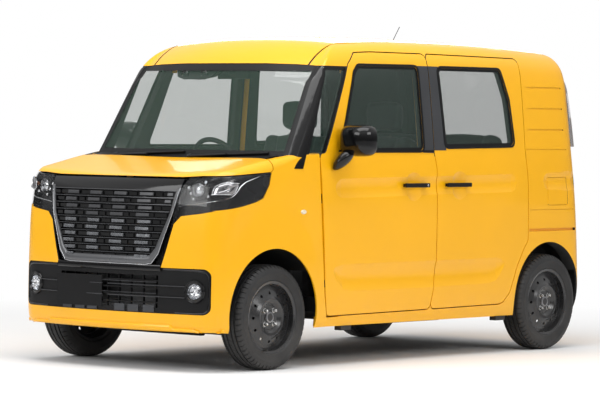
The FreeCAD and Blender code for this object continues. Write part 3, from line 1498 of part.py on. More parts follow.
FRAME_END_SHARES = (-0.4772, -0.2474)
RADIATOR_SHARES = (-0.4551, 0.1844)
MOUNT_SHARE = -0.38
frame_front_y, frame_rear_y = [y_at(share) for share in FRAME_END_SHARES]
radiator_y, radiator_z = side_points([RADIATOR_SHARES])[0]
rail_low = dim.rail_level
rail_high = rail_low + dim.rail_height
rail_outer = dim.rail_inner + dim.rail_width
lock_bar_top = dim.lock_bar_level + dim.lock_bar_height


def make_front_frame():
    inner = dim.rail_inner
    post = inner + dim.post_width
    plate = dim.nose_thickness
    tower = dim.tower_half
    post_end_y = radiator_y + dim.post_width
    mount_y = y_at(MOUNT_SHARE)
    tower_rear_y = front_axle_y + tower
    parts = [
        box(inner, rail_outer, frame_front_y, frame_rear_y, rail_low, rail_high),
        box(0, dim.beam_half, frame_front_y, frame_front_y + dim.beam_depth, rail_low, rail_high),
        box(rail_outer - plate, rail_outer, front_axle_y - 2 * tower, frame_rear_y, rail_low, dim.tower_level),
        box(inner, post, radiator_y, post_end_y, rail_low, lock_bar_top),
        box(0, post, radiator_y, post_end_y, dim.lock_bar_level, lock_bar_top),
        box(dim.engine_half + clear, inner, mount_y, mount_y + tower, rail_low, rail_high),
        box(inner, rail_outer, front_axle_y, front_axle_y + tower, member_top + clear, rail_low),
    ]
    ledge = box(
        rail_outer - plate, out_x, front_axle_y - tower, tower_rear_y, dim.tower_level, dim.tower_level + plate
    )
    parts.append(ledge.common(nose_solid(dim.nose_thickness + clear, below)))
    eye_x = inner
    eye_y = frame_front_y + dim.beam_depth / 2
    eye_z = rail_low - dim.towing_drop
    eye_end = eye_x + dim.towing_plate
    eye = across(2 * dim.towing_bore, eye_y, eye_z, eye_x, eye_end)
    eye = eye.fuse(
        box(eye_x, eye_end, eye_y - 2 * dim.towing_bore, eye_y + 2 * dim.towing_bore, eye_z, rail_low)
    )
    eye = eye.cut(across(dim.towing_bore, eye_y, eye_z, eye_x - gap, eye_end + gap))
    half_frame = parts[0].fuse(parts[1:])
    bulkhead = side_prism(offset_points(floor_line, dim.floor_thickness + clear), -out_x, out_x)
    whole = half_frame.fuse([mirrored(half_frame), eye]).cut(bulkhead)
    add("front_frame", largest(whole))


def make_engine():
    engine = doc.addObject("Part::Box", "engine")
    engine.Label = "engine"
    engine.setExpression("Length", "2 * sizes.engine_half")
    engine.setExpression("Width", "sizes.engine_depth")
    engine.setExpression("Height", "sizes.engine_height")
    corner = Vector(-dim.engine_half, y_at(ENGINE_SHARE), dim.engine_level)
    engine.Placement = Placement(corner, Rotation())
    pieces["engine"] = engine
    radiator = doc.addObject("Part::Box", "radiator")
    radiator.Label = "radiator"
    half = dim.rail_inner - clear
    radiator.setExpression("Length", "2 * (sizes.rail_inner - sizes.clearance)")
    radiator.setExpression("Width", "sizes.radiator_depth")
    radiator.Height = dim.lock_bar_level - clear - radiator_z
    radiator.Placement = Placement(Vector(-half, radiator_y, radiator_z), Rotation())
    pieces["radiator"] = radiator


ENGINE_SHARE = -0.4345
member_top = dim.member_level + dim.member_height
ARM_ROOT_SHARES = [(-0.3186, 0.1061), (-0.3348, 0.1061)]
MEMBER_START_SHARE = -0.3392
link = dim.link_radius
kingpin_low = axle_z - dim.kingpin_below
kingpin_high = axle_z + dim.kingpin_above
hub_face_x = wheel_x + dim.hub_offset
ARM_SHARE = 0.7
SPRING_END_SHARE = 0.9


def make_front_suspension():
    member_y = y_at(MEMBER_START_SHARE)
    half = dim.rail_inner
    member = box(-half, half + dim.rail_width, member_y, member_y + dim.member_depth, dim.member_level, member_top)
    member = member.fuse(mirrored(member))
    rack_y = front_axle_y + dim.steering_arm
    rack = across(link, rack_y, member_top + link - clear, -half, half)
    ball = Vector(dim.kingpin_inset, front_axle_y, kingpin_low)
    rods = []
    for y, z in side_points(ARM_ROOT_SHARES):
        rods.append(rod(Vector(half, y, z), ball, link * ARM_SHARE))
    arm = rods[0].fuse([rods[1], Part.makeSphere(link, ball)])
    arm = arm.cut(rod(ball, ball + Vector(0, 0, 3 * link), link + clear))
    top = Vector(dim.kingpin_inset, front_axle_y, kingpin_high + link)
    foot = Vector(dim.strut_inset, front_axle_y, top.z + link * ARM_SHARE / 2)
    head = Vector(dim.strut_inset, front_axle_y, dim.tower_level - clear)
    strut = rod(top, foot, link * ARM_SHARE).fuse([rod(foot, head, link), Part.makeSphere(link * ARM_SHARE, foot)])
    strut = strut.fuse(Part.makeSphere(link * SPRING_END_SHARE, top))
    spring = rod(head - Vector(0, 0, dim.spring_height), head, dim.spring_radius)
    strut = strut.fuse(spring)
    strut = strut.cut(rod(top - Vector(0, 0, 3 * link), top - Vector(0, 0, link / 2), 2 * link))
    lower = member.fuse([rack, arm, mirrored(arm)])
    add("front_suspension", lower.Solids + both_sides(strut))


def make_knuckle(name, side):
    x = dim.kingpin_inset
    y = front_axle_y
    centre = Vector(x, y, axle_z)
    face_x = hub_face_x - clear
    post = rod(
        Vector(x, y, kingpin_low + link + clear), Vector(x, y, kingpin_high + link / 2 - clear), link
    )
    disc_end = hub_face_x - dim.brake_disc_setback
    drop = Vector(0, 0, link * 2)
    arm_root = centre - drop
    arm_end = arm_root + Vector(-link, dim.steering_arm, 0)
    parts = [
        across(dim.hub_barrel_radius, y, axle_z, x, face_x),
        across(dim.hub_bore - clear, y, axle_z, x, face_x + dim.hub_spigot),
        across(dim.brake_disc_radius, y, axle_z, disc_end - dim.brake_disc_thickness, disc_end),
        rod(arm_root, arm_end, link * ARM_SHARE),
    ]
    knuckle = post.fuse(parts)
    add(name, knuckle if side > 0 else mirrored(knuckle))


REAR_EYE_SHARES = (0.2356, 0.1464)
REAR_SPRING_SHARE = 0.0177
DAMPER_SHARES = (0.0265, 0.0177)


def make_rear_axle():
    tube = dim.axle_tube_radius
    inner_face = hub_face_x - dim.drum_depth
    arm_x = dim.trailing_arm_inset
    eye_y, eye_z = side_points([REAR_EYE_SHARES])[0]
    spring_y = rear_axle_y - y_at(REAR_SPRING_SHARE)
    damper_back, damper_lean = [y_at(share) for share in DAMPER_SHARES]
    damper = Vector(dim.damper_inset, rear_axle_y + damper_back, axle_z)
    parts = [
        across(dim.drum_radius, rear_axle_y, axle_z, inner_face, hub_face_x - clear),
        across(dim.hub_bore - clear, rear_axle_y, axle_z, inner_face, hub_face_x - clear + dim.hub_spigot),
        rod(Vector(arm_x, rear_axle_y, axle_z), Vector(arm_x, eye_y, eye_z), link),
        box(arm_x - link, arm_x + link, eye_y - 2 * link, eye_y + link, eye_z - link, under_rear_floor_z),
        box(arm_x - tube, arm_x + tube, spring_y, rear_axle_y, axle_z - link, axle_z + link),
        rod(Vector(arm_x, spring_y, axle_z), Vector(arm_x, spring_y, under_rear_floor_z), dim.rear_spring_radius),
        rod(Vector(damper.x, rear_axle_y, axle_z), damper, link),
        rod(damper, Vector(damper.x, damper.y + damper_lean, under_rear_floor_z + tube), dim.damper_radius),
    ]
    space = box(0, out_x, -length, length, 0, under_rear_floor_z)
    half_axle = parts[0].fuse(parts[1:]).common(space)
    beam = across(tube, rear_axle_y, axle_z, -inner_face, inner_face)
    add("rear_axle", beam.fuse([half_axle, mirrored(half_axle)]))


TANK_SHARES = (-0.2576, 0.0118)
# Exhaust: middles of the pipe's bends as shares of the width, length and height.
PIPE_SHARES = [
    (0, -0.3211, 0.1676),
    (0, -0.2504, 0.1061),
    (0, -0.0324, 0.1061),
    (-0.339, -0.0029, 0.1061),
    (-0.339, 0.4065, 0.1061),
    (-0.3119, 0.433, 0.162),
]
TAIL_PIPE_SHARES = [
    (-0.2576, 0.4359, 0.162),
    (-0.2576, 0.4595, 0.105),
    (-0.2576, 0.496, 0.1039),
]
SILENCER_SHARES = (-0.3525, 0.433, 0.1676)
FRONT_HANGER_SHARES = [(0, -0.1237), (-0.339, 0.0442)]
REAR_HANGER_SHARES = [(-0.3254, 0.433), (-0.1492, 0.433)]


def bent_line(points, radius):
    """line through the points with a round bend at each corner"""
    edges = []
    start = points[0]
    for before, corner, after in zip(points, points[1:], points[2:]):
        back = (before - corner).normalize()
        ahead = (after - corner).normalize()
        half_turn = back.getAngle(ahead) / 2
        reach = radius / math.tan(half_turn)
        inwards = (back + ahead).normalize() * (radius / math.sin(half_turn) - radius)
        edges.append(Part.makeLine(start, corner + back * reach))
        edges.append(Part.Arc(corner + back * reach, corner + inwards, corner + ahead * reach).toShape())
        start = corner + ahead * reach
    edges.append(Part.makeLine(start, points[-1]))
    return Part.Wire(edges)


def pipe(shares):
    """bent pipe through the points of a table"""
    points = [Vector(x_at(x), y_at(y), z_at(z)) for x, y, z in shares]
    ring = Part.Wire(Part.makeCircle(dim.pipe_radius, points[0], points[1] - points[0]))
    return bent_line(points, dim.pipe_bend_radius).makePipeShell([ring], True, False)


def make_underside():
    tank_x, tank_y = [x_at(TANK_SHARES[0]), y_at(TANK_SHARES[1])]
    tank = box(
        tank_x, tank_x + dim.tank_width, tank_y, tank_y + dim.tank_length, dim.tank_level, under_floor_z
    )
    add("fuel_tank", tank.makeFillet(dim.tank_round, [e for e in tank.Edges if e.BoundBox.ZMax < floor_z - gap
                                                      and e.BoundBox.ZLength < gap]))
    silencer_x, silencer_y, silencer_z = SILENCER_SHARES
    start = Vector(x_at(silencer_x), y_at(silencer_y), z_at(silencer_z))
    silencer = rod(start, start + Vector(dim.silencer_length, 0, 0), dim.silencer_radius)
    parts = [pipe(TAIL_PIPE_SHARES), silencer]
    hangers = [(share, under_floor_z) for share in FRONT_HANGER_SHARES]
    hangers += [(share, under_rear_floor_z) for share in REAR_HANGER_SHARES]
    for (x, y), top in hangers:
        foot = Vector(x_at(x), y_at(y), dim.pipe_level)
        parts.append(rod(foot, Vector(foot.x, foot.y, top), dim.hanger_radius))
    exhaust = pipe(PIPE_SHARES).fuse(parts)
    add("exhaust", exhaust.cut(box(-dim.engine_half, dim.engine_half, -length, engine_rear_y + clear, 0, height)))


engine_rear_y = y_at(ENGINE_SHARE) + dim.engine_depth
post_outer_x = hinge_x - swing_radius - 2 * gap
post_inner_x = post_outer_x - dim.hinge_post_width


def make_hinge_pillars():
    half = dim.hinge_post_depth / 2
    post = box(
        post_inner_x, post_outer_x, hinge_y - half, hinge_y + half, floor_z + clear, z_at(HINGE_POST_SHARE)
    )
    parts = []
    slim = dim.hinge_radius / 2
    third = dim.hinge_length / 3
    for z in hinge_heights:
        low = Vector(hinge_x, hinge_y, z - dim.hinge_length / 2)
        parts.append(rod(low, low + Vector(0, 0, dim.hinge_length), dim.hinge_radius))
        parts.append(box(post_outer_x - gap, hinge_x, hinge_y - slim, hinge_y + slim, z - third, z + third))
    add("hinge_pillars", both_sides(post.fuse(parts)))


HINGE_POST_SHARE = 0.581
# Jacking pads under the sills: fronts of the two pads of one side.
JACK_PAD_SHARES = (-0.1767, 0.2342)
JACK_PAD_SIDE_SHARE = 0.4529


def make_jack_pads():
    pads = []
    start = x_at(JACK_PAD_SIDE_SHARE)
    for share in JACK_PAD_SHARES:
        pads.append(
            box(start, start + dim.jack_pad_width, y_at(share), y_at(share) + dim.jack_pad_length,
                dim.jack_pad_level, dim.sill_height - clear)
        )
    add("jack_pads", both_sides(Part.makeCompound(pads)))


MIRROR_SHARES = (0.5098, -0.2032, 0.6324)
MIRROR_ARM_SHARES = [(-0.2165, 0.6006), (0.5424, -0.1929, 0.648)]


def make_mirrors():
    x, y, z = MIRROR_SHARES
    low = Vector(x_at(x), y_at(y), z_at(z))
    shell = Part.makeBox(dim.mirror_width, dim.mirror_depth, dim.mirror_height, low)
    shell = shell.makeFillet(dim.mirror_round, shell.Edges)
    (foot_y, foot_z), (head_x, head_y, head_z) = MIRROR_ARM_SHARES
    foot = Vector(width / 2 - 2 * gap, y_at(foot_y), z_at(foot_z))
    arm = rod(foot, Vector(x_at(head_x), y_at(head_y), z_at(head_z)), dim.mirror_arm_radius)
    mirror = shell.fuse(largest(arm.cut(cabin_solid(-clear))))
    add("mirror_left", mirror)
    add("mirror_right", mirrored(mirror))


HANDLE_LEVEL_SHARE = 0.5335
FRONT_HANDLE_SHARE = -0.0318
REAR_HANDLE_SHARE = 0.0798
HANDLE_ROUND_SHARE = 0.2


def handle(y_from, long):
    """pull handle on two feet, level with the widest part of the side"""
    low = z_at(HANDLE_LEVEL_SHARE)
    tall = dim.handle_height
    inner = width / 2 + dim.handle_reach
    grip = box(inner, inner + dim.handle_depth, y_from, y_from + long, low, low + tall)
    grip = grip.makeFillet(tall * HANDLE_ROUND_SHARE, grip.Edges)
    feet = []
    for start in (y_from + gap, y_from + long - gap - tall):
        feet.append(
            box(width / 2 - 3 * gap, inner + gap, start, start + tall, low + gap / 2, low + tall - gap / 2)
        )
    return largest(grip.fuse(feet).cut(cabin_solid(-clear)))


def make_handles():
    front = handle(y_at(FRONT_HANDLE_SHARE), dim.front_handle_length)
    add("door_handle_left", front)
    add("door_handle_right", mirrored(front))
    add("sliding_door_handles", both_sides(handle(y_at(REAR_HANDLE_SHARE), dim.rear_handle_length)))


# Wheels

def strip(points, thickness):
    """closed outline along an open line"""
    half = thickness / 2
    left = []
    right = []
    for i, point in enumerate(points):
        before = points[max(i - 1, 0)]
        after = points[min(i + 1, len(points) - 1)]
        normals = []
        for a, b in ((before, point), (point, after)):
            run = math.hypot(b[0] - a[0], b[1] - a[1])
            if run > 0:
                normals.append(Vector(-(b[1] - a[1]) / run, (b[0] - a[0]) / run, 0))
        mean = sum(normals[1:], normals[0])
        mean.normalize()
        reach = half / mean.dot(normals[0])
        left.append((point[0] + mean.x * reach, point[1] + mean.y * reach))
        right.append((point[0] - mean.x * reach, point[1] - mean.y * reach))
    return left + right[::-1]


def plane(body, role):
    for feature in body.Origin.OriginFeatures:
        if feature.Role == role:
            return feature


def sketch_outline(body, name, role, points):
    sketch = body.newObject("Sketcher::SketchObject", name)
    sketch.AttachmentSupport = [(plane(body, role), "")]
    sketch.MapMode = "FlatFace"
    for a, b in zip(points, points[1:] + points[:1]):
        sketch.addGeometry(Part.LineSegment(Vector(a[0], a[1], 0), Vector(b[0], b[1], 0)), False)
    return sketch


# Shares of the half width and of the radius of a rim.
BARREL_SHARES = [
    (-0.9697, 0.9897),
    (-0.9394, 0.9278),
    (-0.3939, 0.9124),
    (-0.2424, 0.8247),
    (0.1212, 0.8247),
    (0.2727, 0.9124),
    (0.9091, 0.9278),
    (0.9697, 0.9897),
]
# Disc: place from the hub face as a share of the half width, and radius.
DISC_SHARES = [
    (0.0379, 0.1392),
    (0.0379, 0.3196),
    (0.2727, 0.433),
    (0.303, 0.5052),
    (0.1515, 0.5876),
    (-0.0606, 0.7732),
    (-0.1515, 0.9072),
]


def make_rim(name, x, y, side):
    half = dim.rim_width / 2
    radius = dim.rim_radius
    body = doc.addObject("PartDesign::Body", name)
    body.Label = name
    barrel = [(a * half, b * radius) for a, b in BARREL_SHARES]
    disc = [(dim.hub_offset + a * half, b * radius) for a, b in DISC_SHARES]
    disc[0] = (disc[0][0], dim.hub_bore)
    for part, line in (("barrel", barrel), ("disc", disc)):
        sketch = sketch_outline(body, f"{name}_{part}_line", "XZ_Plane", strip(line, dim.rim_wall))
        turn = body.newObject("PartDesign::Revolution", f"{name}_{part}")
        turn.Profile = sketch
        turn.ReferenceAxis = (sketch, ["H_Axis"])
        turn.Angle = 360
        body.Tip = turn
    doc.recompute()
    hole = body.newObject("Sketcher::SketchObject", f"{name}_vent_line")
    hole.AttachmentSupport = [(plane(body, "YZ_Plane"), "")]
    hole.MapMode = "FlatFace"
    hole.addGeometry(Part.Circle(Vector(0, dim.vent_circle, 0), Vector(0, 0, 1), dim.vent_radius), False)
    vent = body.newObject("PartDesign::Pocket", f"{name}_vent")
    vent.Profile = hole
    vent.Type = 1
    vent.Reversed = True
    pattern = body.newObject("PartDesign::PolarPattern", f"{name}_vents")
    pattern.Originals = [vent]
    pattern.Axis = (hole, ["N_Axis"])
    pattern.Angle = 360
    pattern.Occurrences = VENTS
    body.Tip = pattern
    place_wheel(body, x, y, side)


VENTS = 12


def place_wheel(body, x, y, side):
    turn = Rotation() if side > 0 else Rotation(Vector(0, 0, 1), 180)
    body.Placement = Placement(Vector(x, y, axle_z), turn)
    pieces[body.Label] = body


# Tyre: shares of its half width and of its radius. The bead sits in the rim.
TYRE_SHARES = [
    (0.8662, 0.7397),
    (1, 0.8259),
    (0.9682, 0.9264),
    (0.7134, 0.991),
    (0.3822, 1),
]
BEAD_SHARES = [(0.8485, 0.9407), (0.8485, 1.0129)]


def make_tyre(name, x, y, side):
    half = dim.tyre_width / 2
    radius = dim.tyre_radius
    points = [(a * dim.rim_width / 2, b * dim.rim_radius) for a, b in BEAD_SHARES]
    points += [(a * half, b * radius) for a, b in TYRE_SHARES]
    points = points + [(-a, b) for a, b in reversed(points)]
    body = doc.addObject("PartDesign::Body", name)
    body.Label = name
    sketch = sketch_outline(body, f"{name}_section", "XZ_Plane", points)
    turn = body.newObject("PartDesign::Revolution", f"{name}_ring")
    turn.Profile = sketch
    turn.ReferenceAxis = (sketch, ["H_Axis"])
    turn.Angle = 360
    body.Tip = turn
    place_wheel(body, x, y, side)


def make_wheels():
    for end, y in (("front", front_axle_y), ("rear", rear_axle_y)):
        for label, side in (("left", 1), ("right", -1)):
            make_rim(f"rim_{end}_{label}", side * wheel_x, y, side)
            make_tyre(f"tyre_{end}_{label}", side * wheel_x, y, side)


# Inside
DASH_SHARES = [
    (-0.2713, 0.3575),
    (-0.2898, 0.562),
    (-0.3122, 0.5654),
    (-0.3211, 0.6089),
    (-0.2356, 0.6034),
    (-0.2106, 0.5754),
    (-0.2062, 0.5028),
    (-0.2239, 0.4469),
    (-0.2356, 0.3575),
]
STEERING_TILT = 30
STEERING_SHARES = (-0.2237, -0.1267, 0.5911)
SPOKE_SHARE = 0.8
steer_x, steer_y, steer_z = STEERING_SHARES
steer_centre = Vector(x_at(steer_x), y_at(steer_y), z_at(steer_z))
steer_axis = Vector(0, math.cos(math.radians(STEERING_TILT)), math.sin(math.radians(STEERING_TILT)))
hub_back = steer_centre - steer_axis * (dim.steer_hub_depth * SPOKE_SHARE)


def make_dashboard():
    half = post_inner_x - clear
    dash = side_prism(offset_points(side_points(DASH_SHARES), -clear), -half, half, dim.dash_round)
    dash = dash.common(cabin_solid(glass_inner + gap, None, below))
    column = rod(steer_centre - steer_axis * dim.column_length, hub_back - steer_axis * clear, dim.column_radius)
    add("dashboard", dash.fuse(column))


def make_steering_wheel():
    grip = dim.steer_grip_radius
    radius = dim.steer_wheel_radius - grip
    ring = Part.makeTorus(radius, grip, steer_centre, steer_axis)
    hub = rod(hub_back, hub_back + steer_axis * dim.steer_hub_depth, dim.steer_hub_radius)
    sideways = Vector(1, 0, 0)
    downwards = steer_axis.cross(sideways)
    spokes = []
    for direction in (sideways, sideways * -1, downwards):
        spokes.append(rod(steer_centre, steer_centre + direction * radius, grip * SPOKE_SHARE))
    add("steering_wheel", ring.fuse([hub] + spokes))


FRONT_BASE_SHARES = (-0.1119, 0.0177)
FRONT_CUSHION_SHARES = (-0.1237, 0.0324)
FRONT_BASE_TOP_SHARE = 0.3128
FRONT_BACK_SHARE = 0.0177
FRONT_BACK_TILT = -14
HEADREST_SHARES = (0.0624, 0.705)
HEADREST_ROD_SHARE = 0.5
BENCH_BASE_SHARES = (0.2297, 0.2946)
BENCH_CUSHION_SHARES = (0.1649, 0.2975)
BENCH_BACK_SHARE = 0.2739
BENCH_BACK_TILT = -10
SETTLE_STEPS = 6


def cushion(x_mid, wide, y_from, y_to, z_from, z_to):
    block = box(x_mid - wide / 2, x_mid + wide / 2, y_from, y_to, z_from, z_to)
    return block.makeFillet(dim.cushion_round, block.Edges)


def seat_back(support, x_mid, wide, deep_y, tall, y, tilt):
    """cushion that leans back from its foot and rests on another one"""
    back = cushion(x_mid, wide, 0, deep_y, 0, tall)
    top = support.BoundBox.ZMax + dim.cushion_round
    back.Placement = Placement(Vector(0, y, top), Rotation(Vector(1, 0, 0), tilt))
    for i in range(SETTLE_STEPS):
        back.translate(Vector(0, 0, clear - back.distToShape(support)[0]))
    return back


def make_seats():
    seats = []
    base_top = z_at(FRONT_BASE_TOP_SHARE)
    cushion_top = base_top + clear + dim.cushion_height
    rest_y, rest_z = side_points([HEADREST_SHARES])[0]
    for side in (1, -1):
        middle = side * dim.seat_inset
        half = dim.seat_base_width / 2
        base_from, base_to = [y_at(share) for share in FRONT_BASE_SHARES]
        seats.append(box(middle - half, middle + half, base_from, base_to, floor_z + clear, base_top))
        front, rear = [y_at(share) for share in FRONT_CUSHION_SHARES]
        seat = cushion(middle, dim.seat_width, front, rear, base_top + clear, cushion_top)
        seats.append(seat)
        back = seat_back(
            seat, middle, dim.seat_back_width, dim.seat_back_depth, dim.seat_back_height,
            y_at(FRONT_BACK_SHARE), FRONT_BACK_TILT,
        )
        seats.append(back)
        rest = cushion(
            middle, dim.headrest_width, rest_y, rest_y + dim.headrest_depth, rest_z, rest_z + dim.headrest_height
        )
        rod_y = rest_y + dim.headrest_depth * HEADREST_ROD_SHARE
        rods = []
        for offset in (-dim.headrest_width / 4, dim.headrest_width / 4):
            foot = Vector(middle + offset, rod_y - dim.headrest_gap, rest_z - 2 * dim.headrest_gap)
            rods.append(rod(foot, Vector(foot.x, rod_y, rest_z + dim.headrest_gap), dim.headrest_rod_radius))
        seats.append(rest.fuse(rods).cut(back))
    add("front_seats", seats)
    half = dim.bench_base_width / 2
    base_from, base_to = [y_at(share) for share in BENCH_BASE_SHARES]
    front, rear = [y_at(share) for share in BENCH_CUSHION_SHARES]
    base_top = rear_floor_z + dim.bench_base_height
    cushion_top = base_top + clear + dim.cushion_height
    seat = cushion(0, dim.bench_width, front, rear, base_top + clear, cushion_top)
    back = seat_back(
        seat, 0, dim.bench_width, dim.bench_back_depth, dim.bench_back_height,
        y_at(BENCH_BACK_SHARE), BENCH_BACK_TILT,
    )
    bench = [box(-half, half, base_from, base_to, rear_floor_z + clear, base_top), seat, back]
    add("rear_seat", bench)


# Small fittings
REPEATER_SHARES = (-0.2775, 0.4642)
ANTENNA_SHARES = (-0.3254, 0.3717)
ANTENNA_LEAN_SHARE = 0.6
CABIN_MIRROR_SHARES = (-0.2062, 0.8603)
MIRROR_STEM_SHARES = (-0.2651, 0.8939)


def make_small_lamps():
    fog = nose_solid(gap / 2).common(fog_rod(dim.fog_lamp_radius)).cut(nose_solid(4 * gap, below))
    repeater_y, repeater_z = side_points([REPEATER_SHARES])[0]
    repeater = nose_solid(-gap / 2).cut(nose_solid(-clear, below))
    repeater = repeater.common(across(dim.repeater_radius, repeater_y, repeater_z, 0, out_x))
    add("small_lamps", both_sides(fog) + both_sides(repeater))


def make_roof_trim(strip_solid):
    """strips in the channels of the roof, and the antenna"""
    x, y = ANTENNA_SHARES
    foot = Vector(x_at(x), y_at(y), 0)
    foot.z = roof_at(foot.x, foot.y)
    lean = Vector(0, ANTENNA_LEAN_SHARE, math.sqrt(1 - ANTENNA_LEAN_SHARE ** 2))
    mast = rod(foot, foot + lean * dim.antenna_length, dim.antenna_radius)
    base = rod(foot, foot + Vector(0, 0, dim.antenna_foot_radius), dim.antenna_foot_radius)
    mast = largest(mast.fuse(base).cut(cabin_solid(-clear)))
    add("roof_trim", both_sides(strip_solid) + [mast])


def make_cabin_mirror():
    y, z = side_points([CABIN_MIRROR_SHARES])[0]
    stem_y, stem_z = side_points([MIRROR_STEM_SHARES])[0]
    half = dim.cabin_mirror_width / 2
    mirror = box(-half, half, y, y + dim.cabin_mirror_depth, z, z + dim.cabin_mirror_height)
    stem = rod(Vector(0, y, z + dim.cabin_mirror_height / 2), Vector(0, stem_y, stem_z), gap)
    stem = stem.common(cabin_solid(glass_inner + clear, None, below))
    add("interior_mirror", mirror.fuse(stem))


wall = cabin.cut(cabin_for_walls)
screen_edge = offset_points(windscreen_outline, clear)
screen_space = front_prism(screen_edge, -length, screen_end_y, round_corner)
door_pressings = [scoop(BAND_SHARES, dim.band_depth), scoop(HOLLOW_SHARES, dim.hollow_depth)]
door_pressings += [bowl(y, z) for y, z in side_points(BOWL_SHARES)]
make_front_doors()
make_sliding_doors()
make_body_sides()
ditch_strip = make_roof()
make_front_pillars()
make_windscreen()
make_tailgate()
make_rear_end()
make_front_body()
make_headlamps()
make_grille()
make_bumper_grille()
make_cowl()
make_number_plate()
make_floor()
make_wheel_liners()
make_front_frame()
make_engine()
make_front_suspension()
make_knuckle("knuckle_left", 1)
make_knuckle("knuckle_right", -1)
make_rear_axle()
make_underside()
make_hinge_pillars()
make_jack_pads()
make_mirrors()
make_handles()
make_wheels()
make_dashboard()
make_steering_wheel()
make_seats()
make_small_lamps()
make_roof_trim(ditch_strip)
make_cabin_mirror()
doc.recompute()

os.makedirs("parts", exist_ok=True)
for item in doc.Objects:
    if "Invalid" in item.State or "Error" in item.State:
        raise RuntimeError(f"{item.Name} did not build")
for name, piece in pieces.items():
    if piece.Shape.isNull() or not piece.Shape.isValid():
        raise RuntimeError(f"{name} has no valid shape")
    piece.Shape.exportStep(f"parts/{name}.step")
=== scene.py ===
import bpy
import bmesh
import json
import math
from mathutils import Vector, Matrix
from mathutils.bvhtree import BVHTree


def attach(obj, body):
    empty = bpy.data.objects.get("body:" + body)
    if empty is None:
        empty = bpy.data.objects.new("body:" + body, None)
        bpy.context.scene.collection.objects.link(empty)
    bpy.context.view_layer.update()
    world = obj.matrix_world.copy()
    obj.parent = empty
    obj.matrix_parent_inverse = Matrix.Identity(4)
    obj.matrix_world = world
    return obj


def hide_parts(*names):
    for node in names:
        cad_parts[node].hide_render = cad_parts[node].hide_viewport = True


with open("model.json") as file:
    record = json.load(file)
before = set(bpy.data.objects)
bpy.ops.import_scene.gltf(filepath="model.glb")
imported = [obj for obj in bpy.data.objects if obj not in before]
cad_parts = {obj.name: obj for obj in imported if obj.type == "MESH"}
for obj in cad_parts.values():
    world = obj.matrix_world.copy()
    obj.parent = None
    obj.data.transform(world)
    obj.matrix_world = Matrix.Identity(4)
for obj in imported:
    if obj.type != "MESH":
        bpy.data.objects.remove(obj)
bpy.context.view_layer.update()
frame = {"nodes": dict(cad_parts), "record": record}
nodes = frame["nodes"]
scene = bpy.context.scene
SIDES = (("left", 1), ("right", -1))

# Camera: fitted to the wheels, sills and corners of the photograph, which is 600 by 400.
PHOTO_SIZE = (600, 400)
PHOTO_MIDDLE = (312.59, 211.75)
FOCAL = 3226.87
SENSOR = 36
ROLL = math.radians(0.76)
AIM = Vector((0, 0, 0.8))
pos = Vector((11.7624, -14.0304, 1.3061))
ahead = (AIM - pos).normalized()
across = ahead.cross(Vector((0, 0, 1))).normalized()
above = across.cross(ahead)
across, above = (
    across * math.cos(ROLL) + above * math.sin(ROLL),
    -across * math.sin(ROLL) + above * math.cos(ROLL),
)
shift = across * (PHOTO_SIZE[0] / 2 - PHOTO_MIDDLE[0]) + above * (PHOTO_MIDDLE[1] - PHOTO_SIZE[1] / 2)
ahead = (ahead * FOCAL + shift).normalized()
across = ahead.cross(above).normalized()
above = across.cross(ahead)
camera = bpy.data.objects.new("camera", bpy.data.cameras.new("camera"))
scene.collection.objects.link(camera)
camera.matrix_world = Matrix((
    (across.x, above.x, -ahead.x, pos.x),
    (across.y, above.y, -ahead.y, pos.y),
    (across.z, above.z, -ahead.z, pos.z),
    (0, 0, 0, 1),
))
camera.data.sensor_width = SENSOR
camera.data.lens = FOCAL / PHOTO_SIZE[0] * SENSOR
camera.data.clip_end = 200
scene.camera = camera
scene.view_settings.view_transform = "Standard"


class Tree:
    """node tree with short calls for adding and joining nodes"""

    def __init__(self, tree):
        self.tree = tree

    def add(self, kind, settings=None, **inputs):
        node = self.tree.nodes.new("ShaderNode" + kind)
        for key, value in (settings or {}).items():
            setattr(node, key, value)
        for key, value in inputs.items():
            numbered = key[0] == "n" and key[1:].isdigit()
            self.set(node.inputs[int(key[1:]) if numbered else key.replace("_", " ")], value)
        return node

    def set(self, socket, value):
        if isinstance(value, bpy.types.NodeSocket):
            self.tree.links.new(value, socket)
        else:
            socket.default_value = value

    def math(self, kind, one, two=0.0, clamp=False):
        node = self.add("Math", {"operation": kind, "use_clamp": clamp}, n0=one, n1=two)
        return node.outputs[0]

    def ramp(self, value, low, high, out_low=0.0, out_high=1.0):
        node = self.add("MapRange", {}, n0=value, n1=low, n2=high, n3=out_low, n4=out_high)
        return node.outputs[0]

    def mix(self, factor, one, two):
        node = self.add("Mix", {"data_type": "RGBA"})
        self.set(node.inputs[0], factor)
        self.set(node.inputs[6], one)
        self.set(node.inputs[7], two)
        return node.outputs[2]


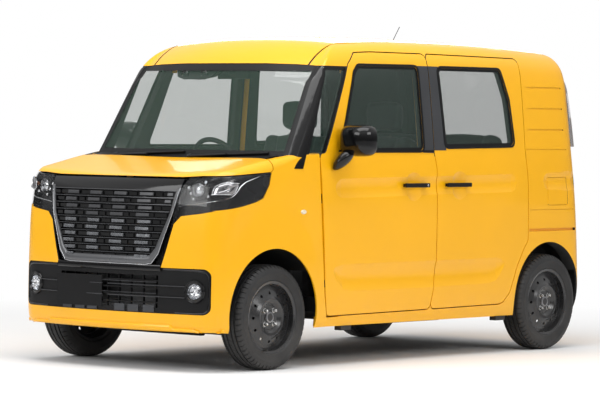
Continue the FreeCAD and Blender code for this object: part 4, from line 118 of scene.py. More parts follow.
def material(
    name, color, shade=0.06, rough=0.4, rough_span=0.06, metal=0.0, coat=0.0, coat_rough=0.04,
    grain=0.0, grain_size=0.002, spots=0.35, ior=1.5, alpha=1.0, sheen=0.0, weave=0.0, dust=0.0,
):
    """procedural surface: mottled colour and roughness, fine grain, weave and dust towards the ground"""
    made = bpy.data.materials.new(name)
    made.use_nodes = True
    t = Tree(made.node_tree)
    surface = made.node_tree.nodes["Principled BSDF"]
    place = t.add("TexCoord").outputs["Object"]
    broad = t.add("TexNoise", {}, Vector=place, Scale=1 / spots, Detail=4.0, Roughness=0.6).outputs[0]
    fine = t.add("TexNoise", {}, Vector=place, Scale=0.6 / grain_size, Detail=3.0, Roughness=0.6).outputs[0]
    dark = [c * (1 - shade) for c in color] + [1]
    light = [min(1, c * (1 + shade)) for c in color] + [1]
    tone = t.mix(t.ramp(broad, 0.3, 0.7), tuple(dark), tuple(light))
    height = fine
    if weave:
        split = t.add("SeparateXYZ", {}, n0=place).outputs
        one = t.math("ADD", split[0], split[1])
        two = t.math("ADD", split[2], t.math("SUBTRACT", split[0], split[1]))
        warp = t.math("SINE", t.math("MULTIPLY", one, 2 * math.pi / weave))
        weft = t.math("SINE", t.math("MULTIPLY", two, 2 * math.pi / weave))
        threads = t.math("MULTIPLY", warp, weft)
        height = t.math("ADD", t.math("MULTIPLY", threads, 0.6), t.math("MULTIPLY", fine, 0.4))
        tone = t.mix(t.ramp(threads, -1, 1, 0.0, 0.45), tone, tuple(c * 0.6 for c in color) + (1,))
    if dust:
        split = t.add("SeparateXYZ", {}, n0=place).outputs
        low = t.ramp(split[2], 0.02, 0.45, dust, 0.0)
        low = t.math("MULTIPLY", low, t.ramp(broad, 0.25, 0.75), True)
        tone = t.mix(low, tone, (0.19, 0.17, 0.15, 1))
    t.set(surface.inputs["Base Color"], tone)
    spread = t.add("TexNoise", {}, Vector=place, Scale=1.7 / spots, Detail=5.0).outputs[0]
    level = t.ramp(spread, 0.3, 0.7, max(0.01, rough - rough_span), rough + rough_span)
    t.set(surface.inputs["Roughness"], level)
    surface.inputs["Metallic"].default_value = metal
    surface.inputs["IOR"].default_value = ior
    surface.inputs["Coat Weight"].default_value = coat
    surface.inputs["Coat Roughness"].default_value = coat_rough
    surface.inputs["Sheen Weight"].default_value = sheen
    surface.inputs["Alpha"].default_value = alpha
    if grain:
        bump = t.add("Bump", {}, Strength=grain, Distance=grain_size * 0.35, Height=height)
        t.set(surface.inputs["Normal"], bump.outputs[0])
    return made


YELLOW = (0.93, 0.455, 0.003)
M = {
    "paint": material("yellow_paint", YELLOW, 0.02, 0.34, 0.03, coat=0.35, coat_rough=0.05, ior=1.38,
                      grain=0.05, grain_size=0.0015, spots=0.6),
    "glass": material("tinted_glass", (0.05, 0.085, 0.068), 0.05, 0.02, 0.01, ior=2.4, alpha=0.24, spots=0.5),
    "screen": material("windscreen_glass", (0.05, 0.12, 0.08), 0.05, 0.02, 0.01, ior=2.2, alpha=0.14,
                       spots=0.5),
    "gloss": material("gloss_black", (0.004, 0.004, 0.0045), 0.2, 0.12, 0.04, coat=0.25, ior=1.35, grain=0.03,
                      grain_size=0.001),
    "satin": material("satin_black", (0.006, 0.006, 0.0065), 0.2, 0.42, 0.07, ior=1.3, grain=0.25,
                      grain_size=0.0012),
    "dark": material("moulded_black", (0.006, 0.006, 0.0065), 0.2, 0.5, 0.08, ior=1.28, grain=0.35,
                     grain_size=0.0015, dust=0.04),
    # dark grey: cabin lining, and painted shade on the edges of the door frames above the belt
    "lining_and_seam_shade": material("cabin_lining_and_seam_shade", (0.028, 0.028, 0.028), 0.12, 0.8, 0.06, grain=0.4, grain_size=0.0015),
    "grey": material("satin_grey", (0.055, 0.056, 0.06), 0.12, 0.32, 0.05, metal=0.3, grain=0.12,
                     grain_size=0.001),
    "silver": material("plated_silver", (0.55, 0.56, 0.58), 0.05, 0.16, 0.05, metal=1.0, grain=0.03),
    "lens": material("clear_lens", (0.03, 0.032, 0.034), 0.02, 0.03, 0.01, ior=1.9, alpha=0.14, spots=0.2),
    "lens_grey": material("smoked_lens", (0.2, 0.2, 0.21), 0.08, 0.08, 0.02, coat=0.8, spots=0.05),
    "cap": material("hub_cap", (0.25, 0.25, 0.26), 0.1, 0.35, 0.06, metal=0.8, grain=0.1, dust=0.1),
    "lens_amber": material("pale_amber_lens", (0.8, 0.7, 0.5), 0.04, 0.06, 0.02, coat=0.8, spots=0.02),
    # light metal: painted highlight lines on the grille bars and on the edges of the rims
    "ridge": material("ridge_highlight_metal", (0.09, 0.092, 0.098), 0.1, 0.25, 0.05, metal=0.6, grain=0.05),
    # bright metal: painted highlights on the lower rows of grille chips
    "chip": material("grille_chip_highlight", (0.33, 0.34, 0.36), 0.2, 0.22, 0.06, metal=0.9, grain=0.05, spots=0.04),
    "rim": material("grille_rim", (0.11, 0.112, 0.118), 0.06, 0.3, 0.05, metal=0.5, grain=0.06,
                    grain_size=0.0008),
    "cell": material("grille_cell", (0.045, 0.047, 0.052), 0.1, 0.35, 0.05, metal=0.2, grain=0.1),
    "chrome_dim": material("lamp_reflector", (0.3, 0.3, 0.31), 0.1, 0.14, 0.05, metal=1.0, spots=0.05),
    "lamp": material("lamp_housing", (0.018, 0.018, 0.02), 0.3, 0.25, 0.06, grain=0.08, grain_size=0.001),
    "chrome": material("lamp_chrome", (0.8, 0.81, 0.83), 0.04, 0.08, 0.04, metal=1.0, spots=0.05),
    "amber": material("amber_bulb", (0.85, 0.25, 0.03), 0.08, 0.2, 0.05, coat=0.5, spots=0.02),
    "red": material("red_lens", (0.5, 0.012, 0.012), 0.1, 0.1, 0.03, coat=0.8, grain=0.1, grain_size=0.004,
                    ior=1.55, alpha=0.9, spots=0.05),
    "steel": material("black_steel", (0.014, 0.014, 0.015), 0.25, 0.5, 0.1, grain=0.25, dust=0.3),
    "rubber": material("pad_rubber", (0.013, 0.013, 0.013), 0.2, 0.7, 0.08, grain=0.35, dust=0.25),
    "alloy": material("cast_alloy", (0.22, 0.22, 0.225), 0.15, 0.5, 0.1, metal=0.9, grain=0.5,
                      grain_size=0.003, dust=0.2),
    "tank": material("tank_plastic", (0.02, 0.02, 0.021), 0.2, 0.55, 0.08, grain=0.3, grain_size=0.003,
                     dust=0.3),
    "pipe": material("bare_steel", (0.3, 0.28, 0.26), 0.25, 0.42, 0.12, metal=1.0, grain=0.2, spots=0.08,
                     dust=0.35),
    "cloth": material("seat_cloth", (0.045, 0.045, 0.05), 0.18, 0.9, 0.05, grain=0.6, grain_size=0.0025,
                      sheen=0.35, weave=0.0035),
    "cloth_side": material("seat_side_cloth", (0.022, 0.022, 0.025), 0.15, 0.85, 0.05, grain=0.5,
                           sheen=0.25, weave=0.003),
    "wheel": material("wheel_enamel", (0.012, 0.012, 0.013), 0.2, 0.28, 0.06, coat=0.4, coat_rough=0.12,
                      grain=0.06, dust=0.1),
    "tyre": material("tyre_rubber", (0.014, 0.014, 0.0145), 0.15, 0.62, 0.08, grain=0.3, grain_size=0.0015,
                     spots=0.15, dust=0.16),
    "nut": material("zinc_nut", (0.55, 0.55, 0.54), 0.08, 0.25, 0.08, metal=1.0, grain=0.1, spots=0.02),
    "dash": material("dashboard_grain", (0.03, 0.03, 0.032), 0.15, 0.6, 0.06, grain=0.5, grain_size=0.0022),
    "mirror": material("mirror_glass", (0.75, 0.77, 0.8), 0.02, 0.02, 0.01, metal=1.0),
    "plate": material("blank_plate", (0.005, 0.005, 0.0055), 0.15, 0.38, 0.05, ior=1.3, grain=0.12),
}
FINISH = {
    "body_paint": "paint", "tinted_glass": "glass", "gloss_black": "gloss", "dark_plastic": "dark",
    "clear_lens": "lens", "lamp_body": "lamp", "red_lens": "red", "black_steel": "steel",
    "pad_rubber": "rubber", "cast_alloy": "alloy", "tank_plastic": "tank", "bare_steel": "pipe",
    "seat_cloth": "cloth", "wheel_paint": "wheel", "tyre": "tyre",
}
OWN_FINISH = {
    "windshield": "screen", "dashboard": "dash", "steering_wheel": "dash", "number_plate": "plate",
    "mirror_left": "gloss", "mirror_right": "gloss", "interior_mirror": "satin",
}
# Painted panels have dark inner faces: those that look at the axis of the car, as cabin lining, and the edges
# of the door frames above the belt, where the dark colour is painted shade in the seams.
AXIS_ENDS, AXIS_HEIGHT, AXIS_SHARE = (-1.0, 1.2), 1.2, 0.8
BELT, INWARD, EDGE = 1.12, -0.2, 0.3
slot_of = {part["node"]: part["material_slot"] for part in frame["record"]["subparts"]}
for name, node in nodes.items():
    finish = OWN_FINISH.get(name) or FINISH[slot_of[name]]
    node.data.materials.clear()
    node.data.materials.append(M[finish])
    if finish != "paint":
        continue
    node.data.materials.append(M["lining_and_seam_shade"])
    for face in node.data.polygons:
        spot = face.center
        axis_y = min(max(spot.y, AXIS_ENDS[0]), AXIS_ENDS[1])
        out = (spot - Vector((0, axis_y, min(spot.z, AXIS_HEIGHT) * AXIS_SHARE))).normalized()
        outward = face.normal.x * math.copysign(1, spot.x)
        # inward faces get the lining; door-frame edges above the belt get it as painted shade in the seams
        if face.normal.dot(out) < INWARD or (outward < EDGE and spot.z > BELT and "door" in name):
            face.material_index = 1


def mesh_of(name, shape):
    """mesh from vertices and faces"""
    verts, faces = shape
    mesh = bpy.data.meshes.new(name)
    mesh.from_pydata([tuple(v) for v in verts], [], faces)
    return mesh


def piece(name, shape, finish, body="body", smooth=30, bevel=0.0, segments=2, subdivide=0):
    """object from vertices and faces"""
    return from_mesh(name, mesh_of(name, shape), finish, body, smooth, bevel, segments, subdivide)


def from_mesh(name, mesh, finish, body="body", smooth=30, bevel=0.0, segments=2, subdivide=0):
    """object from a mesh that rides on a body, with its finish, slot, smoothing angle and rounding"""
    mesh.validate()
    made = bpy.data.objects.new(name, mesh)
    scene.collection.objects.link(made)
    for key in finish if isinstance(finish, list) else [finish]:
        mesh.materials.append(M[key])
    if bevel:
        rounding = made.modifiers.new("round", "BEVEL")
        rounding.width = bevel
        rounding.segments = segments
        rounding.limit_method = "ANGLE"
        rounding.angle_limit = math.radians(35)
        rounding.harden_normals = False
    if subdivide:
        finer = made.modifiers.new("finer", "SUBSURF")
        finer.levels = subdivide
        finer.render_levels = subdivide
    if bevel or subdivide:
        apply(made)
    shade(made, smooth)
    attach(made, body)
    return made


def apply(made):
    """turns the modifiers of an object into its mesh"""
    bpy.context.view_layer.update()
    graph = bpy.context.evaluated_depsgraph_get()
    mesh = bpy.data.meshes.new_from_object(made.evaluated_get(graph), depsgraph=graph)
    old = made.data
    made.modifiers.clear()
    made.data = mesh
    mesh.name = old.name
    bpy.data.meshes.remove(old)


def shade(made, angle):
    """smooth faces with sharp edges over an angle"""
    mesh = made.data
    mesh.polygons.foreach_set("use_smooth", [True] * len(mesh.polygons))
    if angle < 180:
        mesh.set_sharp_from_angle(angle=math.radians(angle))


def grid_faces(rows, columns, close_rows=False, close_columns=False):
    """quads between rows of points"""
    faces = []
    for a in range(rows if close_rows else rows - 1):
        for c in range(columns if close_columns else columns - 1):
            b, d = (a + 1) % rows, (c + 1) % columns
            faces.append([a * columns + c, a * columns + d, b * columns + d, b * columns + c])
    return faces


def closed_grid(rows, columns, flip=False):
    """quads between closed rows of points and a face over either end"""
    first = list(range(columns))
    last = [(rows - 1) * columns + j for j in first]
    return grid_faces(rows, columns, False, True) + ([first, last[::-1]] if flip else [first[::-1], last])


def turns(count):
    """angles of a number of even steps around a circle"""
    return [2 * math.pi * i / count for i in range(count)]


def tube(points, radius, sides=12, up=Vector((0, 0, 1)), closed=False):
    """vertices and faces of a round or oval bar along a line of points"""
    wide, tall = radius if isinstance(radius, tuple) else (radius, radius)
    points = [Vector(p) for p in points]
    verts = []
    count = len(points)
    for i, point in enumerate(points):
        before = points[i - 1] if i or closed else point
        after = points[(i + 1) % count] if i < count - 1 or closed else point
        along = (after - before).normalized()
        side = along.cross(up)
        side = side.normalized() if side.length > 1e-6 else Vector((1, 0, 0))
        top = side.cross(along)
        for turn in turns(sides):
            verts.append(point + side * wide * math.cos(turn) + top * tall * math.sin(turn))
    return verts, grid_faces(count, sides, True, True) if closed else closed_grid(count, sides)


def lathe(profile, centre, axis, steps=48):
    """vertices and faces of a turned shape; the profile gives (radius, place along the axis)"""
    axis = Vector(axis).normalized()
    side = axis.orthogonal().normalized()
    other = axis.cross(side)
    verts = []
    for turn in turns(steps):
        out = side * math.cos(turn) + other * math.sin(turn)
        for radius, place in profile:
            verts.append(Vector(centre) + out * radius + axis * place)
    return verts, grid_faces(steps, len(profile), True, False)


def slab(corners, thick):
    """vertices and faces of a plate between a ring of points and the same ring moved"""
    count = len(corners)
    verts = [Vector(c) for c in corners] + [Vector(c) + Vector(thick) for c in corners]
    faces = [list(range(count))[::-1], list(range(count, 2 * count))]
    for i in range(count):
        k = (i + 1) % count
        faces.append([i, k, count + k, count + i])
    return verts, faces


def block(low, high):
    """vertices and faces of a block between two corners"""
    (x0, y0, z0), (x1, y1, z1) = low, high
    ring = [(x0, y0, z0), (x1, y0, z0), (x1, y1, z0), (x0, y1, z0)]
    return slab(ring, (0, 0, z1 - z0))


def join(parts):
    """one list of vertices and faces from several"""
    verts, faces = [], []
    for v, f in parts:
        faces += [[i + len(verts) for i in face] for face in f]
        verts += list(v)
    return verts, faces


def turned_rect(x0, x1, y0, y1, radius, steps=5):
    """rounded rectangle as a ring of points"""
    ring = []
    for cx, cy, first in ((x1 - radius, y1 - radius, 0), (x0 + radius, y1 - radius, 90),
                          (x0 + radius, y0 + radius, 180), (x1 - radius, y0 + radius, 270)):
        for i in range(steps + 1):
            turn = math.radians(first + 90 * i / steps)
            ring.append((cx + radius * math.cos(turn), cy + radius * math.sin(turn)))
    return ring


# Lines of sight start this far outside the car.
FAR = 3


def trees(*names):
    """search trees of CAD nodes"""
    made = []
    for name in names:
        mesh = nodes[name].data
        faces = [list(p.vertices) for p in mesh.polygons]
        made.append(BVHTree.FromPolygons([v.co for v in mesh.vertices], faces))
    return made


def skin_at(search, start, direction):
    """nearest place where a line from outside meets the nodes, with its normal, or nothing"""
    hits = [tree.ray_cast(Vector(start), Vector(direction)) for tree in search]
    return min((hit for hit in hits if hit[0]), key=lambda hit: hit[3], default=None)


def near(search, place, off=0.0):
    """nearest place on a skin and its outward normal, moved out by a distance"""
    hits = [tree.find_nearest(Vector(place)) for tree in search]
    hit, normal = min(hits, key=lambda hit: hit[3])[:2]
    return hit + normal * off, normal


def lists_of(made):
    """vertices and faces of a bmesh, which is freed"""
    made.verts.index_update()
    shape = [v.co.copy() for v in made.verts], [[v.index for v in f.verts] for f in made.faces]
    made.free()
    return shape


def winding(ring):
    """1 for a ring of points that runs anticlockwise, otherwise -1"""
    return 1 if sum(a[0] * b[1] - b[0] * a[1] for a, b in zip(ring, ring[1:] + ring[:1])) > 0 else -1


def patch(node, outline, axis, side, lift, thick=0.0, facing=0.2):
    """the outer faces of a node inside a convex outline, as a skin lifted off it"""
    mesh = nodes[node].data
    made = bmesh.new()
    made.from_mesh(mesh)
    made.normal_update()
    flat = [k for k in range(3) if k != axis]
    low = [min(p[i] for p in outline) for i in range(2)]
    high = [max(p[i] for p in outline) for i in range(2)]
    gone = []
    for face in made.faces:
        away = face.normal[axis] * side < facing
        for i, k in enumerate(flat):
            values = [v.co[k] for v in face.verts]
            away = away or max(values) < low[i] or min(values) > high[i]
        if away:
            gone.append(face)
    bmesh.ops.delete(made, geom=gone, context="FACES")
    turn = winding(outline)
    for a, b in zip(outline, outline[1:] + outline[:1]):
        place, out = [0, 0, 0], [0, 0, 0]
        place[flat[0]], place[flat[1]] = a
        out[flat[0]], out[flat[1]] = turn * (b[1] - a[1]), -turn * (b[0] - a[0])
        if Vector(out).length < 1e-9:
            continue
        geometry = made.verts[:] + made.edges[:] + made.faces[:]
        bmesh.ops.bisect_plane(made, geom=geometry, plane_co=place, plane_no=out, clear_outer=True)
    bmesh.ops.remove_doubles(made, verts=made.verts, dist=1e-5)
    made.normal_update()
    for vert in made.verts:
        vert.co += vert.normal * lift
    if thick:
        bmesh.ops.solidify(made, geom=made.faces[:], thickness=-thick)
    return lists_of(made)


def ring_patch(node, outer, inner, axis, side, lift, thick=0.0, facing=0.2):
    """band on a node between two rings of points of the same count"""
    parts = []
    for i, here in enumerate(outer):
        k = (i + 1) % len(outer)
        parts.append(patch(node, [here, outer[k], inner[k], inner[i]], axis, side, lift, 0.0, facing))
    mesh = mesh_of("band", join(parts))
    made = bmesh.new()
    made.from_mesh(mesh)
    bmesh.ops.remove_doubles(made, verts=made.verts, dist=2e-5)
    if thick:
        made.normal_update()
        bmesh.ops.solidify(made, geom=made.faces[:], thickness=-thick)
    bpy.data.meshes.remove(mesh)
    return lists_of(made)


# At a sharp corner a point of a ring moves by no more than the distance divided by this.
LEAST_LEAN = 0.35


def inset_ring(ring, distance):
    """ring of points moved inwards by a distance"""
    turn = winding(ring)
    moved = []
    for before, here, after in zip(ring[-1:] + ring[:-1], ring, ring[1:] + ring[:1]):
        one = Vector((here[0] - before[0], here[1] - before[1])).normalized()
        two = Vector((after[0] - here[0], after[1] - here[1])).normalized()
        out = Vector((one.y + two.y, -one.x - two.x)) * turn
        out = out.normalized() if out.length > 1e-9 else Vector((one.y, -one.x)) * turn
        lean = max(LEAST_LEAN, out.dot(Vector((one.y, -one.x)) * turn))
        moved.append((here[0] - out.x * distance / lean, here[1] - out.y * distance / lean))
    return moved


def rounded(points, radius, steps=4):
    """closed outline with its corners rounded"""
    ring = []
    count = len(points)
    for i, here in enumerate(points):
        here = Vector(here)
        back = Vector(points[i - 1]) - here
        on = Vector(points[(i + 1) % count]) - here
        turn = back.angle(on) / 2
        reach = min(radius / math.tan(turn), back.length / 2, on.length / 2)
        one, two = here + back.normalized() * reach, here + on.normalized() * reach
        for k in range(steps + 1):
            t = k / steps
            ring.append(tuple(one * (1 - t) ** 2 + here * 2 * t * (1 - t) + two * t ** 2))
    return ring


def between(a, b, t):
    """place at a share of the way from one to another"""
    return tuple(p + (q - p) * t for p, q in zip(a, b))


def on_side(side, place):
    """place of the car's left moved to a side"""
    return Vector((side * place[0], *place[1:]))


def at_height(rows, z):
    """value at a height from rows of (height, value)"""
    for (z0, one), (z1, two) in zip(rows, rows[1:]):
        if z <= z1:
            return one + (two - one) * max(0.0, (z - z0) / (z1 - z0))
    return rows[-1][1]


def mirror_x(ring):
    """ring of points on the other side of the car"""
    return [(-x, z) for x, z in ring]


# Floor, world and lamps. The floor turns into the white surroundings between two distances.
FLOOR_HALF, FADE_FROM, FADE_TO = 60, 2.2, 5.5
floor_mesh = bpy.data.meshes.new("floor")
corners = [(x * FLOOR_HALF, y * FLOOR_HALF, 0) for x, y in ((-1, -1), (1, -1), (1, 1), (-1, 1))]
floor_mesh.from_pydata(corners, [], [(0, 1, 2, 3)])
floor = bpy.data.objects.new("floor", floor_mesh)
scene.collection.objects.link(floor)
floor_finish = bpy.data.materials.new("pale_floor")
floor_finish.use_nodes = True
t = Tree(floor_finish.node_tree)
out = floor_finish.node_tree.nodes["Material Output"]
floor_finish.node_tree.nodes.remove(floor_finish.node_tree.nodes["Principled BSDF"])
place = t.add("NewGeometry").outputs["Position"]
away = t.add("VectorMath", {"operation": "LENGTH"}, n0=place).outputs["Value"]
cloudy = t.add("TexNoise", {}, Vector=place, Scale=0.7, Detail=3.0).outputs[0]
matt = t.add("BsdfDiffuse", {}, Color=t.mix(cloudy, (0.86, 0.86, 0.86, 1), (0.9, 0.9, 0.9, 1)))
glow = t.add("Emission", {}, Color=(1, 1, 1, 1), Strength=1.0)
path = t.add("LightPath")
seen = t.math("MAXIMUM", path.outputs["Is Camera Ray"], path.outputs["Is Transmission Ray"])
share = t.math("MULTIPLY", t.ramp(away, FADE_FROM, FADE_TO), seen, True)
both = t.add("MixShader", {}, n0=share, n1=matt.outputs[0], n2=glow.outputs[0])
t.set(out.inputs["Surface"], both.outputs[0])
floor_mesh.materials.append(floor_finish)

# How bright glossy and diffuse rays see the surroundings, from one height of a ray to another.
GLOSSY_SKY, DIFFUSE_SKY = (0.0, 0.42, 0.07, 0.85), (-0.1, 0.6, 0.3, 0.62)
world = bpy.data.worlds.new("studio")
scene.world = world
world.use_nodes = True
t = Tree(world.node_tree)
ground = world.node_tree.nodes["Background"]
direction = t.add("TexCoord").outputs["Generated"]
height = t.add("SeparateXYZ", {}, n0=direction).outputs[2]
path = t.add("LightPath")
plain = t.math("MAXIMUM", path.outputs["Is Camera Ray"], path.outputs["Is Transmission Ray"])
sheen_level = t.ramp(height, *GLOSSY_SKY)
level = t.math("MULTIPLY", path.outputs["Is Glossy Ray"], sheen_level)
fill_level = t.ramp(height, *DIFFUSE_SKY)
level = t.math("ADD", level, t.math("MULTIPLY", path.outputs["Is Diffuse Ray"], fill_level))
level = t.math("MAXIMUM", level, plain)
ground.inputs["Color"].default_value = (1, 1, 1, 1)
t.set(ground.inputs["Strength"], level)

# Each lamp: place, target, size, power.
LAMPS = {
    "top_light": ((1.0, -1.5, 5.2), (0, 0, 0.8), (5.5, 3.5), 210),
    "front_light": ((-1.5, -7.0, 3.4), (0, -0.8, 0.9), (4.0, 2.2), 125),
    "side_light": ((7.5, -1.0, 3.6), (0, 0.3, 1.0), (4.5, 1.8), 130),
    "back_light": ((-5.0, 6.5, 3.5), (0, 0, 1.0), (4.0, 2.0), 110),
}
for name, (place, target, size, power) in LAMPS.items():
    light = bpy.data.lights.new(name, "AREA")
    light.shape = "RECTANGLE"
    light.size, light.size_y = size
    light.energy = power
    made = bpy.data.objects.new(name, light)
    scene.collection.objects.link(made)
    made.location = place
    made.rotation_euler = (Vector(target) - Vector(place)).to_track_quat("-Z", "Y").to_euler()

# Window seals, black tape and mouldings on the doors. All outlines of the sides are (y, z).
FRONT_WINDOW = [(-0.640, 1.158), (-0.573, 1.322), (-0.478, 1.580), (-0.440, 1.617), (0.076, 1.621),
                (0.088, 1.160)]
SLIDING_WINDOW = [(0.290, 1.180), (0.262, 1.619), (0.840, 1.620), (0.905, 1.450), (0.935, 1.190)]
QUARTER = [(-0.935, 1.105), (-0.722, 1.610), (-0.531, 1.610), (-0.699, 1.267), (-0.764, 1.148),
           (-0.790, 1.105)]
FRONT_TAPE = [(0.084, 1.146), (0.073, 1.628), (0.171, 1.628), (0.186, 1.146)]
SLIDING_TAPE = [(0.180, 1.160), (0.172, 1.628), (0.266, 1.628), (0.294, 1.160)]
BELT_STRIP = [(-0.656, 1.150), (-0.652, 1.160), (0.186, 1.160), (0.186, 1.150)]
WINDOW_ROUND, QUARTER_ROUND = 0.03, 0.012
SEAL_WIDTH, SEAL_LIFT, SEAL_THICK = 0.013, 0.0012, 0.0022
TAPE_LIFT, TAPE_THICK = 0.0007, 0.0005
BELT_LIFT, BELT_THICK = 0.0022, 0.0035
PRINT_WIDTH, QUARTER_PRINT, PRINT_LIFT = 0.014, 0.02, 0.0006


def window_trim(door, pane, outline, tape, side):
    """seal around a window, tape on its pillar and printed border of its pane"""
    window = rounded(outline, WINDOW_ROUND)
    seal = ring_patch(door, inset_ring(window, -SEAL_WIDTH), window, 0, side, SEAL_LIFT, SEAL_THICK)
    tape = patch(door, tape, 0, side, TAPE_LIFT, TAPE_THICK)
    border = ring_patch(pane, window, inset_ring(window, PRINT_WIDTH), 0, side, PRINT_LIFT)
    return seal, tape, border


for label, side in SIDES:
    door = f"front_door_{label}"
    seal, tape, border = window_trim(door, f"door_glass_{label}", FRONT_WINDOW, FRONT_TAPE, side)
    belt = patch(door, BELT_STRIP, 0, side, BELT_LIFT, BELT_THICK)
    piece(f"front_window_seal_{label}", join([seal, belt]), "satin", door)
    piece(f"front_pillar_tape_{label}", tape, "cell", door)
    piece(f"front_window_border_{label}", border, "satin", door)
    seal, tape, border = window_trim("sliding_doors", "side_glass", SLIDING_WINDOW, SLIDING_TAPE, side)
    piece(f"sliding_window_seal_{label}", seal, "satin")
    piece(f"sliding_pillar_tape_{label}", tape, "cell")
    quarter = rounded(QUARTER, QUARTER_ROUND)
    outer, inner = inset_ring(quarter, -QUARTER_PRINT), inset_ring(quarter, QUARTER_PRINT)
    quarter = ring_patch("side_glass", outer, inner, 0, side, PRINT_LIFT)
    piece(f"side_glass_border_{label}", join([border, quarter]), "satin")

# Dark border of the windscreen, camera cover, wipers.
WINDSCREEN = [(0.692, 1.108), (0.634, 1.612), (0.5, 1.620), (0.3, 1.625)]
SCREEN_LEAN, SCREEN_BORDER, SCREEN_OVERRUN = 0.115, 0.03, 0.01
SCREEN_CLEAR, SCREEN_LIFT, SCREEN_FACING = (1.152, 1.583), 0.0005, 0.05
screen_ring = rounded(WINDSCREEN + mirror_x(WINDSCREEN)[::-1], WINDOW_ROUND)


def screen_inside(point):
    """point of the windscreen's outline moved to the inner edge of its border"""
    x, z = point
    z = min(max(z, SCREEN_CLEAR[0]), SCREEN_CLEAR[1])
    foot_x, foot_z = WINDSCREEN[0]
    half = foot_x - (z - foot_z) * SCREEN_LEAN - SCREEN_BORDER
    return (max(-half, min(half, x)), z)


inner_ring = [screen_inside(point) for point in screen_ring]
outer_ring = inset_ring(screen_ring, -SCREEN_OVERRUN)
frit = ring_patch("windshield", outer_ring, inner_ring, 1, -1, SCREEN_LIFT, facing=SCREEN_FACING)
piece("windscreen_border", frit, "satin")
screen_tree = trees("windshield")
COWL_Y = -0.9


def on_screen(x, z, off):
    """place at a distance in front of the windscreen, or over the cowl where it has ended"""
    hit = skin_at(screen_tree, (x, -FAR, z), (0, 1, 0))
    return hit[0] - Vector((0, off, 0)) if hit else Vector((x, COWL_Y, z))


CAMERA_COVER = [(-0.35, 1.588), (-0.31, 1.548), (-0.255, 1.536), (-0.12, 1.532), (-0.06, 1.540),
                (-0.02, 1.572), (0.0, 1.588)]
COVER_OFF, COVER_DEEP = -0.014, (0, 0.075, 0.012)
CAMERA_EYES, CAMERA_EYE_Z, EYE_OFF = (-0.255, -0.105), 1.562, -0.013
EYE_PROFILE = [(0.0, 0.004), (0.012, 0.003), (0.014, 0.0), (0.022, -0.003), (0.027, -0.002), (0.028, 0.004)]
cover = slab([on_screen(x, z, COVER_OFF) for x, z in CAMERA_COVER], COVER_DEEP)
piece("camera_cover", cover, "satin", bevel=0.008, segments=3)
for k, x in enumerate(CAMERA_EYES):
    eye = lathe(EYE_PROFILE, on_screen(x, CAMERA_EYE_Z, EYE_OFF), (0, 1, 0), 24)
    piece(f"camera_eye_{k}", eye, "gloss")

# Each wiper: where its pivot stands, and the place of its tip.
WIPERS = ((-0.50, (0.02, 1.128)), (0.08, (0.575, 1.140)))
PIVOT_Z, PIVOT_SIGHT_Z, PIVOT_OFF, PIVOT_AXIS = 1.112, 1.135, 0.03, (0, -0.5, 0.85)
PIVOT_PROFILE = [(0.0, 0.016), (0.014, 0.014), (0.018, 0.004), (0.018, -0.03)]
ARM_SECTION, BLADE_SECTION, RUBBER_SECTION = (0.011, 0.006), (0.006, 0.005), (0.002, 0.005)
TIP_OFF, ARM_RISE, ARM_SAG = 0.02, Vector((0.03, -0.01, 0.006)), Vector((0, -0.014, 0.004))
BLADE_FOOT_Z, BLADE_TIP_Z, BLADE_START, BLADE_OFF, BLADE_STEPS = 1.119, 1.141, 0.02, 0.010, 9
RUBBER_SHIFT = Vector((0, 0.006, -0.001))
for k, (pivot_x, tip) in enumerate(WIPERS):
    start, end = on_screen(pivot_x, PIVOT_SIGHT_Z, PIVOT_OFF), on_screen(*tip, TIP_OFF)
    start.z = PIVOT_Z
    middle = (start + end) / 2 + ARM_SAG
    arm = tube([start, start + ARM_RISE, middle], ARM_SECTION, 10)
    hub = lathe(PIVOT_PROFILE, start, PIVOT_AXIS, 20)
    first, last = (pivot_x + BLADE_START, BLADE_FOOT_Z), (tip[0], BLADE_TIP_Z)
    edge = [on_screen(*between(first, last, i / BLADE_STEPS), BLADE_OFF) for i in range(BLADE_STEPS + 1)]
    blade = tube(edge, BLADE_SECTION, 8)
    lip = tube([p + RUBBER_SHIFT for p in edge], RUBBER_SECTION, 6)
    piece(f"wiper_{k}", join([arm, hub, blade, lip]), "satin")

# Door mirrors: rounded housing, glass and the foot on the door. Rows of the housing and of the glass are
# (y, height over the middle, half width, half height), rows of the foot (x, y, z, radius).
MIRROR_X, MIRROR_Z = 0.835, 1.213
HOUSING = ((-0.692, 0.004, 0.030, 0.022), (-0.690, 0.003, 0.062, 0.048), (-0.676, 0.002, 0.083, 0.068),
           (-0.650, 0.0, 0.107, 0.084), (-0.615, 0.0, 0.109, 0.087), (-0.592, 0.0, 0.108, 0.086),
           (-0.588, 0.0, 0.104, 0.082), (-0.596, 0.0, 0.100, 0.078), (-0.604, 0.0, 0.098, 0.076))
MIRROR_GLASS = ((-0.6025, 0.0, 0.0845, 0.0705), (-0.601, 0.0, 0.0845, 0.0705), (-0.6005, 0.0, 0.070, 0.058))
MIRROR_FOOT = ((0.797, -0.655, 1.160, 0.038), (0.790, -0.665, 1.135, 0.050), (0.778, -0.680, 1.105, 0.053),
               (0.765, -0.690, 1.080, 0.045), (0.752, -0.700, 1.060, 0.028), (0.746, -0.704, 1.052, 0.010))
FOOT_WIDE, FOOT_LONG, FOOT_SIDES = 0.8, 0.95, 20
OVAL_SIDES, OVAL_POWER = 28, 0.55


def oval_rows(rows, side):
    """closed form from rounded-rectangle rows around the middle of a door mirror"""
    verts = []
    for y, rise, wide, tall in rows:
        for turn in turns(OVAL_SIDES):
            c, s = math.cos(turn), math.sin(turn)
            verts.append((side * MIRROR_X + math.copysign(abs(c) ** OVAL_POWER, c) * wide, y,
                          MIRROR_Z + rise + math.copysign(abs(s) ** OVAL_POWER, s) * tall))
    return verts, closed_grid(len(rows), OVAL_SIDES)


